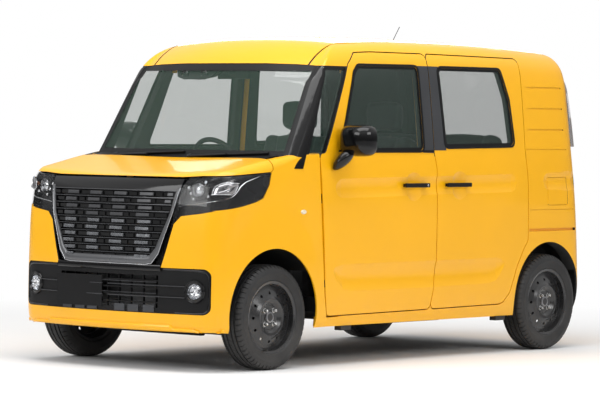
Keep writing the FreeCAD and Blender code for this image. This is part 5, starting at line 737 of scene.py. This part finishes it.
for label, side in SIDES:
    door = f"front_door_{label}"
    foot = []
    for x, y, z, radius in MIRROR_FOOT:
        wide, long = radius * FOOT_WIDE, radius * FOOT_LONG
        for turn in turns(FOOT_SIDES):
            foot.append((side * x + wide * math.cos(turn), y + long * math.sin(turn), z))
    shape = join([oval_rows(HOUSING, side), (foot, closed_grid(len(MIRROR_FOOT), FOOT_SIDES))])
    made = piece(f"door_mirror_{label}", shape, "gloss", door, 50, subdivide=1)
    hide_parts(f"mirror_{label}")
    piece(f"mirror_glass_{label}", oval_rows(MIRROR_GLASS, side), "mirror", door, 40)

# The nose: its front skin in the middle of the car as (height, y), and how far it falls back at a half width.
NOSE_ROWS = [(0.19, -1.66), (0.212, -1.692), (0.29, -1.697), (0.4, -1.697), (0.54, -1.694), (0.7, -1.689),
             (0.815, -1.682), (0.93, -1.664), (1.06, -1.618)]
NOSE_FALL, NOSE_HALF = 0.09, 0.7
STRIP_BACK = -0.004


def nose_y(x, z):
    """front skin of the nose at a width and a height"""
    return at_height(NOSE_ROWS, z) + NOSE_FALL * (x / NOSE_HALF) ** 2


def nose_strip(x0, x1, rows, steps=36):
    """strip along the nose from rows of (height, distance in front of the skin), closed behind"""
    line = rows + [(rows[-1][0], STRIP_BACK), (rows[0][0], STRIP_BACK)]
    verts = []
    for i in range(steps + 1):
        x = x0 + (x1 - x0) * i / steps
        verts += [(x, nose_y(x, z) - off, z) for z, off in line]
    return verts, closed_grid(steps + 1, len(line), True)


def ridge(z, foot, crown, low, high):
    """rows of a ridge at a height: half its foot and its crown, and how far both stand in front"""
    return [(z - foot, low), (z - crown, high), (z + crown, high), (z + foot, low)]


def along_line(points, t):
    """place at a share of a line of points"""
    place = t * (len(points) - 1)
    k = min(int(place), len(points) - 2)
    return between(points[k], points[k + 1], place - k)


def both_sides(steps):
    """steps from one side of the car to the other, as side and share of the way from the middle"""
    return [(1 if i >= 0 else -1, abs(i) / steps) for i in range(-steps, steps + 1)]


# Upper grille: half width by height, ridges, staggered chips, surround. The ridges are light metal lines
# painted as highlights on the bars, and the lower rows of chips are bright metal painted as highlights.
GRILLE_HALF = [(0.556, 0.313), (0.610, 0.355), (0.815, 0.429), (0.960, 0.462)]
ROW_PITCH = 0.0364
RIDGES, RIDGE_FOOT_Z, RIDGE_INSET = 11, 0.576, 0.020
# the lower rows of chips are bright metal as a painted highlight, the upper rows dark grey
CHIP_ROWS, HIGHLIGHT_ROWS, CHIP_FOOT_Z, CHIP_INSET = 10, 6, 0.5942, 0.03
CHIP_SHIFT, CHIP_PITCH, CHIP_STAGGER = -0.018, 0.178, 0.006
CHIP_HALF, CHIP_LEAST, BARE_HALF = 0.043, 0.03, 0.2
RIM_OUTER = [(0.0, 0.556), (0.270, 0.556), (0.313, 0.562), (0.355, 0.614), (0.429, 0.815), (0.462, 0.958)]
RIM_INNER = [(0.0, 0.597), (0.255, 0.597), (0.298, 0.603), (0.332, 0.640), (0.412, 0.815), (0.447, 0.958)]
RIM_SECTION = ((0.0, -0.002), (0.0, 0.003), (0.1, 0.007), (0.5, 0.0085), (0.85, 0.005), (1.0, 0.0),
               (1.0, -0.006))
RIM_STEPS = 60
EDGE_PROUD, EDGE_DROP, EDGE_RADIUS = 0.0045, 0.002, 0.0022
SILL_HALF, TOP_HALF = 0.372, 0.47
SILL_ROWS = [(0.522, 0.0005), (0.526, 0.004), (0.545, 0.006), (0.552, 0.004), (0.555, 0.0)]
highlight_ridges, highlight_chips, dim_chips = [], [], []
for i in range(RIDGES):
    z = RIDGE_FOOT_Z + ROW_PITCH * i
    half = at_height(GRILLE_HALF, z) - RIDGE_INSET
    highlight_ridges.append(nose_strip(-half, half, ridge(z, 0.0022, 0.0015, 0.0, 0.0035)))
for i in range(CHIP_ROWS):
    z = CHIP_FOOT_Z + ROW_PITCH * i
    half = at_height(GRILLE_HALF, z) - CHIP_INSET
    rows = [(z - 0.0085, 0.003), (z - 0.006, 0.006), (z + 0.006, 0.0055), (z + 0.0085, 0.003)]
    for k in range(-3, 4):
        centre = CHIP_SHIFT + CHIP_PITCH * (k + 0.5) + (CHIP_STAGGER if i % 2 else -CHIP_STAGGER)
        low, high = max(-half, centre - CHIP_HALF), min(half, centre + CHIP_HALF)
        if high - low < CHIP_LEAST or (i == 0 and abs(centre) < BARE_HALF):
            continue
        (highlight_chips if i < HIGHLIGHT_ROWS else dim_chips).append(nose_strip(low, high, rows, 6))
# ridges and lower chips in light metal: painted highlights
piece("grille_ridge_highlights", join(highlight_ridges), "ridge")
piece("grille_chip_highlights", join(highlight_chips), "chip")
piece("grille_chips_upper", join(dim_chips), "grey")

rim, edge = [], []
for side, share in both_sides(RIM_STEPS):
    out, inn = along_line(RIM_OUTER, share), along_line(RIM_INNER, share)
    for t, off in RIM_SECTION:
        x, z = between(out, inn, t)
        rim.append((side * x, nose_y(x, z) - off, z))
    x, z = out
    edge.append((side * x, nose_y(x, z) - EDGE_PROUD, z - EDGE_DROP))
rim = (rim, closed_grid(2 * RIM_STEPS + 1, len(RIM_SECTION), True))
piece("grille_rim", rim, "rim", smooth=50)
piece("grille_edge", tube(edge, EDGE_RADIUS, 8), "silver", smooth=60)
piece("grille_sill", nose_strip(-SILL_HALF, SILL_HALF, SILL_ROWS), "gloss")
bar = nose_strip(-TOP_HALF, TOP_HALF, ridge(0.941, 0.0025, 0.0015, 0.0, 0.004))
piece("grille_top_edge", bar, "grey")

# Lower grille: two pairs of raised lines, two long lines that end at the skin, and cells on either side.
LINE_ROWS, LINE_ENDS = (0.388, 0.446), (0.02, 0.522)
LONG_ROWS, LONG_HALF = (0.404, 0.463), 0.345
CELL_PLACES, CELL_HALF = (0.1, 0.193, 0.295), 0.036
CELL_ROWS = ridge(0.324, 0.019, 0.017, -0.006, -0.003)
lines, cells = [], []
for z in LINE_ROWS:
    for side in (1, -1):
        low, high = sorted(side * x for x in LINE_ENDS)
        lines.append(nose_strip(low, high, ridge(z, 0.0028, 0.0016, 0.0, 0.0035)))
for z in LONG_ROWS:
    lines.append(nose_strip(-LONG_HALF, LONG_HALF, ridge(z, 0.002, 0.001, -0.004, 0.0)))
piece("lower_grille_lines", join(lines), "grey")
for side in (1, -1):
    for x in CELL_PLACES:
        low, high = sorted((side * (x - CELL_HALF), side * (x + CELL_HALF)))
        cells.append(nose_strip(low, high, CELL_ROWS, 4))
piece("lower_grille_cells", join(cells), "cell")

# Rounded border of the bezels around the fog lamps.
FOG_BEZEL = [(0.385, 0.532), (0.5, 0.531), (0.6, 0.529), (0.638, 0.520), (0.654, 0.500), (0.657, 0.44),
             (0.656, 0.36), (0.65, 0.325), (0.63, 0.309), (0.58, 0.306), (0.42, 0.306)]
BEZEL_SECTION, BEZEL_STEPS, BEZEL_LIFT = (0.006, 0.0035), 4, 0.0008
BEZEL_TURN_X, BEZEL_TURN = 0.55, 0.01
bezel_tree = trees("bumper_grille")
border = []
for side in (1, -1):
    points = []
    for a, b in zip(FOG_BEZEL, FOG_BEZEL[1:]):
        for k in range(BEZEL_STEPS):
            x, z = between(a, b, k / BEZEL_STEPS)
            start = (side * x, nose_y(x, z) + BEZEL_TURN * (x > BEZEL_TURN_X), z)
            points.append(near(bezel_tree, start, BEZEL_LIFT)[0])
    border.append(tube(points, BEZEL_SECTION, 8, Vector((0, -1, 0))))
piece("fog_bezel_border", join(border), "gloss", smooth=60)

# Fog lamps: reflector with its bulb and four studs, glass, ring. Side repeaters on the wings.
FOG_PLACE, FOG_AIM = (0.577, -1.634, 0.422), (0.19, -0.98, 0.02)
FOG_BOWL = [(0.041, 0.001), (0.041, -0.006), (0.036, -0.016), (0.028, -0.026), (0.016, -0.033), (0.0, -0.036)]
FOG_BULB = [(0.0, -0.004), (0.010, -0.006), (0.014, -0.012), (0.013, -0.034)]
FOG_STUD, STUD_RADIUS = [(0.0, -0.008), (0.006, -0.010), (0.008, -0.026)], 0.026
FOG_GLASS = [(0.0, 0.007), (0.016, 0.006), (0.03, 0.003), (0.0395, -0.002), (0.041, -0.008)]
FOG_RING = [(0.0425, -0.008), (0.0425, 0.003), (0.046, 0.0055), (0.050, 0.003), (0.055, 0.0008),
            (0.058, 0.0035), (0.061, 0.0035), (0.063, -0.001)]
REPEATER_PLACE, REPEATER_LONG, REPEATER_TALL, REPEATER_SIDES = (0.735, -0.942, 0.831), 0.024, 0.013, 32
REPEATER_ROWS = [(0.0, 0.006), (0.5, 0.0056), (0.8, 0.0045), (1.0, -0.002)]
fog_parts, fog_lens, fog_ring, repeaters = [], [], [], []
for side in (1, -1):
    face = near(trees("small_lamps"), on_side(side, FOG_PLACE))[0]
    away = on_side(side, FOG_AIM).normalized()
    fog_parts.append(lathe(FOG_BOWL, face, away, 40))
    fog_parts.append(lathe(FOG_BULB, face, away, 24))
    for k in range(4):
        turn = math.radians(45 + 90 * k)
        spot = Vector((math.cos(turn) * STUD_RADIUS, 0, math.sin(turn) * STUD_RADIUS))
        fog_parts.append(lathe(FOG_STUD, face + spot, away, 16))
    fog_lens.append(lathe(FOG_GLASS, face, away, 40))
    fog_ring.append(lathe(FOG_RING, face, away, 48))
    place = near(trees("front_wings"), on_side(side, REPEATER_PLACE))[0]
    verts = []
    for share, off in REPEATER_ROWS:
        long, tall = REPEATER_LONG * share, REPEATER_TALL * share
        for turn in turns(REPEATER_SIDES):
            verts.append(place + Vector((side * off, long * math.cos(turn), tall * math.sin(turn))))
    repeaters.append((verts, grid_faces(len(REPEATER_ROWS), REPEATER_SIDES, False, True)))
made = piece("fog_lamp_reflectors", join(fog_parts), "chrome", smooth=50)
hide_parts("small_lamps")
piece("fog_lamp_glass", join(fog_lens), "lens", smooth=60)
piece("fog_lamp_rings", join(fog_ring), "gloss", smooth=40)
piece("side_repeaters", join(repeaters), "lens_amber", smooth=60)

# Headlamps: recessed trays with a projector, a reflector with its bulb and a chrome strip.
TRAY_DEPTH = 0.042
LEAST_OUT, MOST_BACK, MOST_UP = 0.05, 0.03, 0.64


def outer_skin(name, side):
    """front and outer faces of a lamp on one side, as coordinates and faces"""
    mesh = nodes[name].data
    keep, used = [], {}
    for polygon in mesh.polygons:
        n = polygon.normal
        outward = n.x * side > LEAST_OUT and n.y < MOST_BACK and abs(n.z) < MOST_UP
        if outward and polygon.center.x * side > 0:
            keep.append([used.setdefault(v, len(used)) for v in polygon.vertices])
    return [mesh.vertices[v].co.copy() for v in used], keep


trays = []
for label, side in SIDES:
    verts, faces = outer_skin("headlamps", side)
    made = bmesh.new()
    for v in verts:
        made.verts.new(v)
    made.verts.ensure_lookup_table()
    for f in faces:
        if len(set(f)) == len(f):
            made.faces.new([made.verts[k] for k in f])
    bmesh.ops.remove_doubles(made, verts=made.verts, dist=1e-5)
    made.normal_update()
    rim = [e for e in made.edges if e.is_boundary]
    floor_of = {v: v.co - v.normal * TRAY_DEPTH for v in made.verts}
    top_of = {v: made.verts.new(v.co) for e in rim for v in e.verts}
    for e in rim:
        a, b = e.verts
        made.faces.new([a, b, top_of[b], top_of[a]])
    for v, place in floor_of.items():
        v.co = place
    bmesh.ops.recalc_face_normals(made, faces=made.faces[:])
    trays.append(lists_of(made))
made = piece("headlamp_trays", join(trays), "lamp", smooth=40)
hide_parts("headlamps")

# What the lamps hold: reflector, masks around it that close the view through the lamp, strip, bulb, projector
# and studs.
REFLECTOR = [(0.6412, -1.5828, 0.9262), (0.6517, -1.5697, 0.9682), (0.6815, -1.5406, 0.9858),
             (0.7172, -1.4408, 0.9843), (0.7158, -1.4706, 0.9395), (0.7125, -1.4917, 0.9271)]
MASK_IN = [(y, z) for x, y, z in REFLECTOR]
MASK_OUT = [(-1.61, 0.80), (-1.61, 1.06), (-1.54, 1.07), (-1.19, 1.07), (-1.19, 0.88), (-1.45, 0.80)]
MASK_LIFT, MASK_FACING = -0.001, 0.62
STRIP = [(0.462, -1.636, 0.862), (0.4906, -1.6282, 0.8678), (0.550, -1.617, 0.8745),
         (0.6089, -1.6026, 0.8831), (0.660, -1.575, 0.892), (0.6982, -1.5329, 0.9033),
         (0.710, -1.503, 0.9115), (0.7147, -1.4816, 0.923), (0.7170, -1.455, 0.945),
         (0.7177, -1.4411, 0.9647), (0.7195, -1.400, 0.990), (0.7222, -1.2865, 1.0233)]
STRIP_SECTION, STRIP_DEPTH = (0.0042, 0.002), 0.006
DISH_ROWS = ((1.03, 0.0), (1.0, -0.002), (0.95, 0.004), (0.86, 0.014), (0.66, 0.022), (0.36, 0.027),
             (0.05, 0.029))
DISH_DEPTH, DISH_RIM = 0.008, 0.0028
BULB_PLACE, BULB_DEPTH = (0.7012, -1.5177, 0.9566), 0.016
BULB = [(0.0, 0.011), (0.007, 0.009), (0.0105, 0.002), (0.0105, -0.006), (0.006, -0.014)]
PROJECTOR_PLACE, PROJECTOR_DEPTH, PROJECTOR_AIM = (0.560, -1.602, 0.950), 0.010, (0.16, -0.98, 0.03)
PROJECTOR_RING = [(0.034, -0.004), (0.036, 0.0), (0.0335, 0.003), (0.031, 0.0), (0.029, -0.012)]
PROJECTOR_EYE = [(0.0, 0.001), (0.012, -0.001), (0.022, -0.006), (0.029, -0.013)]
PROJECTOR_HOOD = [(0.052, -0.018), (0.05, -0.008), (0.044, -0.006), (0.038, -0.012), (0.035, -0.024)]
STUD_PLACES = ((0.497, 0.962), (0.515, 0.932), (0.535, 0.902), (0.622, 0.918), (0.618, 0.978))
STUD, STUD_DEPTH = [(0.0, 0.003), (0.005, 0.0025), (0.008, -0.002), (0.008, -0.02)], 0.014
masks = []
for label, side in SIDES:
    masks.append(ring_patch("headlamps", MASK_OUT, MASK_IN, 0, side, MASK_LIFT, facing=MASK_FACING))
piece("headlamp_masks", join(masks), "lamp", smooth=50)
lens_tree = trees("headlamp_lenses")


def behind(side, place, depth):
    """place behind the lens of a headlamp and the outward normal there"""
    return near(lens_tree, on_side(side, place), -depth)


for label, side in SIDES:
    ring = []
    for a, b in zip(REFLECTOR, REFLECTOR[1:] + REFLECTOR[:1]):
        ring += [between(a, b, t) for t in (0, 0.25, 0.5, 0.75)]
    top = [behind(side, p, DISH_DEPTH)[0] for p in ring]
    centre = sum(top, Vector()) / len(top)
    normal = behind(side, [sum(p[i] for p in REFLECTOR) / len(REFLECTOR) for i in range(3)], 0.0)[1]
    verts = [centre + (p - centre) * share - normal * deep for share, deep in DISH_ROWS for p in top]
    dish = (verts, grid_faces(len(DISH_ROWS), len(top), False, True))
    bulb = lathe(BULB, behind(side, BULB_PLACE, BULB_DEPTH)[0], normal, 24)
    strip = tube([behind(side, p, STRIP_DEPTH)[0] for p in STRIP], STRIP_SECTION, 8)
    face = behind(side, PROJECTOR_PLACE, PROJECTOR_DEPTH)[0]
    away = on_side(side, PROJECTOR_AIM).normalized()
    rows = (PROJECTOR_RING, PROJECTOR_EYE, PROJECTOR_HOOD)
    barrel, eye, hood = [lathe(profile, face, away, 40) for profile in rows]
    studs = []
    for x, z in STUD_PLACES:
        spot, normal = behind(side, (x, nose_y(x, z), z), STUD_DEPTH)
        studs.append(lathe(STUD, spot, normal, 16))
    for name, shape, finish in (
        ("reflector", dish, "chrome_dim"), ("reflector_rim", tube(top, DISH_RIM, 8, closed=True), "chrome"),
        ("bulb", bulb, "amber"), ("strip", strip, "chrome"), ("projector_ring", barrel, "chrome_dim"),
        ("projector", eye, "mirror"), ("projector_hood", hood, "gloss"), ("studs", join(studs), "chrome"),
    ):
        piece(f"headlamp_{name}_{label}", shape, finish, smooth=60)

# Lip along the lower edge of the bumper and the strip under it.
LIP_TOP = [(0.0, 0.246), (0.2, 0.246), (0.4, 0.246), (0.433, 0.246), (0.452, 0.227), (0.52, 0.227),
           (0.6, 0.228), (0.66, 0.229), (0.7, 0.230)]
LIP_SECTION = ((0.0, -0.001), (0.1, 0.009), (0.3, 0.013), (0.8, 0.012), (1.0, 0.004))
LIP_STEPS, LIP_FOOT_Z, LIP_SIGHT_Z = 48, 0.211, 0.24
CORNER_X, CORNER_WIDE, CORNER_FALL = 0.52, 0.18, 0.06
UNDER_STRIP = ((-0.35, -1.32, 0.168), (0.35, -1.29, 0.205))
bumper_tree = trees("front_bumper")
lip = []
for side, share in both_sides(LIP_STEPS):
    x, top_z = along_line(LIP_TOP, share)
    y = nose_y(x, LIP_SIGHT_Z) + CORNER_FALL * max(0.0, (x - CORNER_X) / CORNER_WIDE) ** 2
    for t, off in LIP_SECTION:
        lip.append(near(bumper_tree, (side * x, y, top_z + (LIP_FOOT_Z - top_z) * t), off)[0])
lip = (lip, grid_faces(2 * LIP_STEPS + 1, len(LIP_SECTION)))
piece("bumper_lip", lip, "paint", smooth=40)
piece("front_under_strip", block(*UNDER_STRIP), "dark", bevel=0.006)

# Tyres with tread, wheel nuts, caps and light lines on the edges of the pressed rims, which are painted
# highlights. The tyre's section is (radius, half width), first the side wall and then the crown with its
# grooves.
AXLES = (("front", -1.1715), ("rear", 1.2885))
WHEEL_X, AXLE_Z = 0.647, 0.2785
TREAD = [(0.184, 0.060), (0.195, 0.067), (0.199, 0.0715), (0.204, 0.0725), (0.215, 0.0765), (0.234, 0.0785),
         (0.236, 0.0792), (0.239, 0.0785), (0.254, 0.0745), (0.264, 0.069), (0.271, 0.063), (0.2755, 0.055)]
CROWN = [(0.2768, 0.0475), (0.2705, 0.0465), (0.2705, 0.0395), (0.2775, 0.0385), (0.2783, 0.0215),
         (0.2720, 0.0205), (0.2720, 0.0135), (0.2784, 0.0125)]
PITCHES, SLIT_SHARES = 58, ((0.0, False), (0.76, False), (0.80, True), (0.96, True))
SLANT, SLANT_FROM, SLANT_OVER = 0.02, 0.25, 0.02
SHOULDER_R, SHOULDER_X, SHOULDER_DEEP = 0.262, 0.04, 0.005
MIDDLE_R, MIDDLE_X, MIDDLE_DEEP = 0.27, 0.03, 0.0016
NUT_COUNT, NUT_CIRCLE, HUB_CIRCLE, VALVE_CIRCLE = 4, 0.05, 0.036, 0.182
NUT_PARTS = (([(0.0105, -0.002), (0.0105, 0.014), (0.0085, 0.017)], 6),
             ([(0.0085, 0.015), (0.007, 0.021), (0.003, 0.0235), (0.0, 0.024)], 16),
             ([(0.014, -0.001), (0.0135, 0.003), (0.0105, 0.004)], 20))
HUB_CAP = [(0.031, -0.002), (0.0305, 0.005), (0.0285, 0.0085), (0.022, 0.010), (0.020, 0.0075), (0.0, 0.007)]
RIM_EDGE_HIGHLIGHTS, RIM_EDGE_STEPS, RIM_EDGE_LIFT = ((0.0975, 0.0014), (0.172, 0.0012), (0.1915, 0.0012)), 72, 0.0002
VALVE_TURN, HUB_TURN, RIM_SIGHT = math.radians(250), 0.3, 0.4
VALVE = [(0.005, -0.004), (0.004, 0.016), (0.0052, 0.017), (0.0052, 0.026), (0.0, 0.027)]


def tyre(centre, side):
    """tyre with slanted slits cut into its shoulders and its middle"""
    half = TREAD + CROWN
    profile = [(r, -t) for r, t in half] + [(r, t) for r, t in half[::-1]]
    verts = []
    for k in range(PITCHES):
        for share, slit in SLIT_SHARES:
            turn = 2 * math.pi * (k + share) / PITCHES
            for r, t in profile:
                lean = turn + math.copysign(SLANT, t) * min(1.0, max(0.0, (r - SLANT_FROM) / SLANT_OVER))
                low = SHOULDER_DEEP if slit and r > SHOULDER_R and abs(t) > SHOULDER_X else 0.0
                if slit and r > MIDDLE_R and abs(t) < MIDDLE_X:
                    low = MIDDLE_DEEP
                out = r - low
                verts.append(centre + Vector((side * t, out * math.cos(lean), out * math.sin(lean))))
    return verts, grid_faces(len(SLIT_SHARES) * PITCHES, len(profile), True, True)


def on_rim(rim, centre, side, radius, turn, off=0.0):
    """place on the outer face of a rim, or nothing over a hole"""
    start = centre + Vector((side * RIM_SIGHT, radius * math.cos(turn), radius * math.sin(turn)))
    hit = skin_at(rim, start, (-side, 0, 0))
    return hit[0] + Vector((side * off, 0, 0)) if hit else None


for corner, y in AXLES:
    for label, side in SIDES:
        where = f"{corner}_{label}"
        spin = f"wheel_{where}"
        centre, out = Vector((side * WHEEL_X, y, AXLE_Z)), (side, 0, 0)
        made = piece(f"tyre_tread_{where}", tyre(centre, side), "tyre", spin, 32)
        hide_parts(f"tyre_{where}")
        rim = trees(f"rim_{where}")
        nuts = []
        for k in range(NUT_COUNT):
            seat = on_rim(rim, centre, side, NUT_CIRCLE, math.radians(45 + 90 * k))
            nuts += [lathe(profile, seat, out, steps) for profile, steps in NUT_PARTS]
        piece(f"wheel_nuts_{where}", join(nuts), "nut", spin, 35)
        hub = on_rim(rim, centre, side, HUB_CIRCLE, HUB_TURN)
        hub = Vector((hub.x, centre.y, centre.z))
        piece(f"wheel_cap_{where}", lathe(HUB_CAP, hub, out, 40), "cap", spin, 35)
        # light metal rings on the pressed edges of the rims: painted highlights
        highlight_rings = []
        for radius, wide in RIM_EDGE_HIGHLIGHTS:
            line = [on_rim(rim, centre, side, radius, turn, RIM_EDGE_LIFT) for turn in turns(RIM_EDGE_STEPS)]
            if all(line):
                highlight_rings.append(tube(line, wide, 6, Vector((1, 0, 0)), True))
        piece(f"rim_edge_highlights_{where}", join(highlight_rings), "ridge", spin, 60)
        valve = on_rim(rim, centre, side, VALVE_CIRCLE, VALVE_TURN)
        if valve:
            piece(f"wheel_valve_{where}", lathe(VALVE, valve, out, 14), "rubber", spin, 40)

# Keyholes of the front doors, on their handles.
LOCK_Y, LOCK_Z = 0.088, 0.967
LOCK = [(0.0, 0.0016), (0.004, 0.0018), (0.0065, 0.0008), (0.0072, -0.001)]
handles = trees(*[name for name in nodes if "handle" in name])
for label, side in SIDES:
    hit = skin_at(handles, (side * FAR, LOCK_Y, LOCK_Z), (-side, 0, 0))
    lock = lathe(LOCK, hit[0], (side, 0, 0), 20)
    piece(f"door_lock_{label}", lock, "silver", f"front_door_{label}", 50)

# Seats: padded forms made from the plain ones, with seams pressed in. All depths are in metres.
VOXEL, SMOOTHING, SMOOTH_ROUNDS, SHRINK = 0.009, 0.5, 14, 0.004
CROWN_RISE, CROWN_REACH = 0.016, 1.25
BOLSTER_RISE, BOLSTER_AT, BOLSTER_WIDE = 0.012, 0.8, 0.13
SEAM_DEEP, SEAM_WIDE = 0.010, 0.007
TUFT_DEEP, TUFT_WIDE, TUFT_PITCH, TUFT_START = 0.005, 0.008, 0.14, 0.06
SIDE_CLOTH_FROM, SIDE_CLOTH_BELOW = 0.02, 0.5
SITTING_UP, SITTING_FRONT, RUN_UP, RUN_BACK = 0.6, 0.8, 0.9, 0.45


def bell(distance, width):
    """smooth share that is 1 in the middle and falls off over a width"""
    return math.exp(-(distance / width) ** 2)


def padded_seat(name, made_name, middles, half, seam):
    """rounded, crowned copy of the plain seats with stitched grooves"""
    mesh = nodes[name].data.copy()
    made = from_mesh(made_name, mesh, ["cloth", "cloth_side"], smooth=60)
    remesh = made.modifiers.new("pad", "REMESH")
    remesh.mode = "VOXEL"
    remesh.voxel_size = VOXEL
    soften = made.modifiers.new("soften", "SMOOTH")
    soften.factor = SMOOTHING
    soften.iterations = SMOOTH_ROUNDS
    apply(made)
    mesh = made.data
    normals = [v.normal.copy() for v in mesh.vertices]
    for vert, normal in zip(mesh.vertices, normals):
        co = vert.co
        middle = min(middles, key=lambda m: abs(co.x - m))
        share = (co.x - middle) / half
        facing = max(0.0, SITTING_UP * normal.z - SITTING_FRONT * normal.y)
        rise = CROWN_RISE * max(0.0, math.cos(share * math.pi / 2 * CROWN_REACH))
        rise += BOLSTER_RISE * bell(abs(share) - BOLSTER_AT, BOLSTER_WIDE)
        rise -= SEAM_DEEP * bell((abs(share) - seam) * half, SEAM_WIDE)
        if abs(share) < seam:
            along = (co.z * RUN_UP + co.y * RUN_BACK - TUFT_START) % TUFT_PITCH
            rise -= TUFT_DEEP * bell(along - TUFT_PITCH / 2, TUFT_WIDE)
        vert.co = co + normal * (facing * rise - SHRINK)
    for polygon in mesh.polygons:
        middle = min(middles, key=lambda m: abs(polygon.center.x - m))
        share = abs(polygon.center.x - middle) / half
        outer = share > seam + SIDE_CLOTH_FROM or polygon.center.z < SIDE_CLOTH_BELOW
        polygon.material_index = 1 if outer else 0
        polygon.use_smooth = True
    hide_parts(name)


padded_seat("front_seats", "front_seat_pads", (-0.3, 0.3), 0.25, 0.56)
padded_seat("rear_seat", "rear_seat_pads", (-0.265, 0.265), 0.26, 0.62)

# Rear: lamp lenses that stand proud at the corners, wiper, handle strip, stop lamp and reflectors.
TAIL_LENS = ((0.584, 1.182), (0.576, 1.618), (0.790, 1.618), (0.790, 1.182))
TAIL_LIFT, TAIL_THICK, TAIL_FACING = 0.011, 0.009, 0.05
CLEAR_BELOW, CLEAR_FACING = 1.27, 0.8
STRIP_ROWS = ((0.0, 0.0), (0.04, 0.6), (0.2, 1.0), (0.8, 1.0), (0.96, 0.6), (1.0, 0.0))
HANDLE_STRIP = (-0.26, 0.26, 0.985, 1.035, 0.016)
STOP_LAMP = (-0.11, 0.11, 1.655, 1.672, 0.008)
WIPER_PIVOT = (0.0, 1.095, 0.0)
WIPER_COVER = [(0.0, 0.034), (0.016, 0.032), (0.026, 0.024), (0.029, 0.008), (0.029, -0.004)]
WIPER_ARM, REAR_ARM = ((0.0, 1.095, 0.026), (-0.05, 1.10, 0.034), (-0.20, 1.135, 0.03)), (0.009, 0.005)
REAR_BLADE, REAR_BLADE_STEPS, REAR_BLADE_OFF = ((-0.03, 1.115), (-0.336, 1.1582)), 9, 0.012
REAR_REFLECTOR_X, REAR_REFLECTOR_Z, REFLECTOR_BOX = 0.56, 0.42, (-0.055, 0.055, -0.016, 0.016, 0.01)
REFLECTOR_ROWS = ((0.0, 0.005), (0.85, 0.005), (1.0, -0.002))
for label, side in SIDES:
    outline = [(side * x, z) for x, z in TAIL_LENS]
    lens = patch("tail_lamps", outline, 1, 1, TAIL_LIFT, TAIL_THICK, TAIL_FACING)
    mesh = mesh_of(f"tail_lamp_lens_{label}", lens)
    mesh.update()
    for face in mesh.polygons:
        face.material_index = 1 if face.normal.y < CLEAR_FACING or face.center.z < CLEAR_BELOW else 0
    from_mesh(f"tail_lamp_lens_{label}", mesh, ["red", "lens_grey"], smooth=40)
gate, back = trees("tailgate", "tailgate_glass"), trees("rear_bumper")


def from_behind(search, x, z, off):
    """place behind a rear skin, at a distance from it"""
    return skin_at(search, (x, FAR, z), (0, -1, 0))[0] + Vector((0, off, 0))


def gate_strip(x0, x1, z0, z1, proud, steps=24):
    """rounded bar along the tailgate"""
    verts = []
    for i in range(steps + 1):
        x = x0 + (x1 - x0) * i / steps
        for t, share in STRIP_ROWS:
            off = share * proud if share else STRIP_BACK
            verts.append((x, from_behind(gate, x, (z0 + z1) / 2, off).y, z0 + (z1 - z0) * t))
    return verts, closed_grid(steps + 1, len(STRIP_ROWS), True)


piece("tailgate_handle_strip", gate_strip(*HANDLE_STRIP), "satin", "tailgate")
piece("high_stop_lamp", gate_strip(*STOP_LAMP), "red", "tailgate")
cover = lathe(WIPER_COVER, from_behind(gate, *WIPER_PIVOT), (0, 1, 0), 28)
arm = tube([from_behind(gate, *place) for place in WIPER_ARM], REAR_ARM, 10)
blade = []
for i in range(REAR_BLADE_STEPS + 1):
    blade.append(from_behind(gate, *between(*REAR_BLADE, i / REAR_BLADE_STEPS), REAR_BLADE_OFF))
wiper = join([cover, arm, tube(blade, BLADE_SECTION, 8)])
piece("rear_wiper", wiper, "satin", "tailgate", 40)
for label, side in SIDES:
    verts = []
    box = turned_rect(*REFLECTOR_BOX)
    for share, off in REFLECTOR_ROWS:
        for x, z in box:
            x, z = side * REAR_REFLECTOR_X + x * share, REAR_REFLECTOR_Z + z * share
            verts.append(from_behind(back, x, z, off))
    shape = (verts, grid_faces(len(REFLECTOR_ROWS), len(box), False, True))
    piece(f"rear_reflector_{label}", shape, "red", smooth=40)
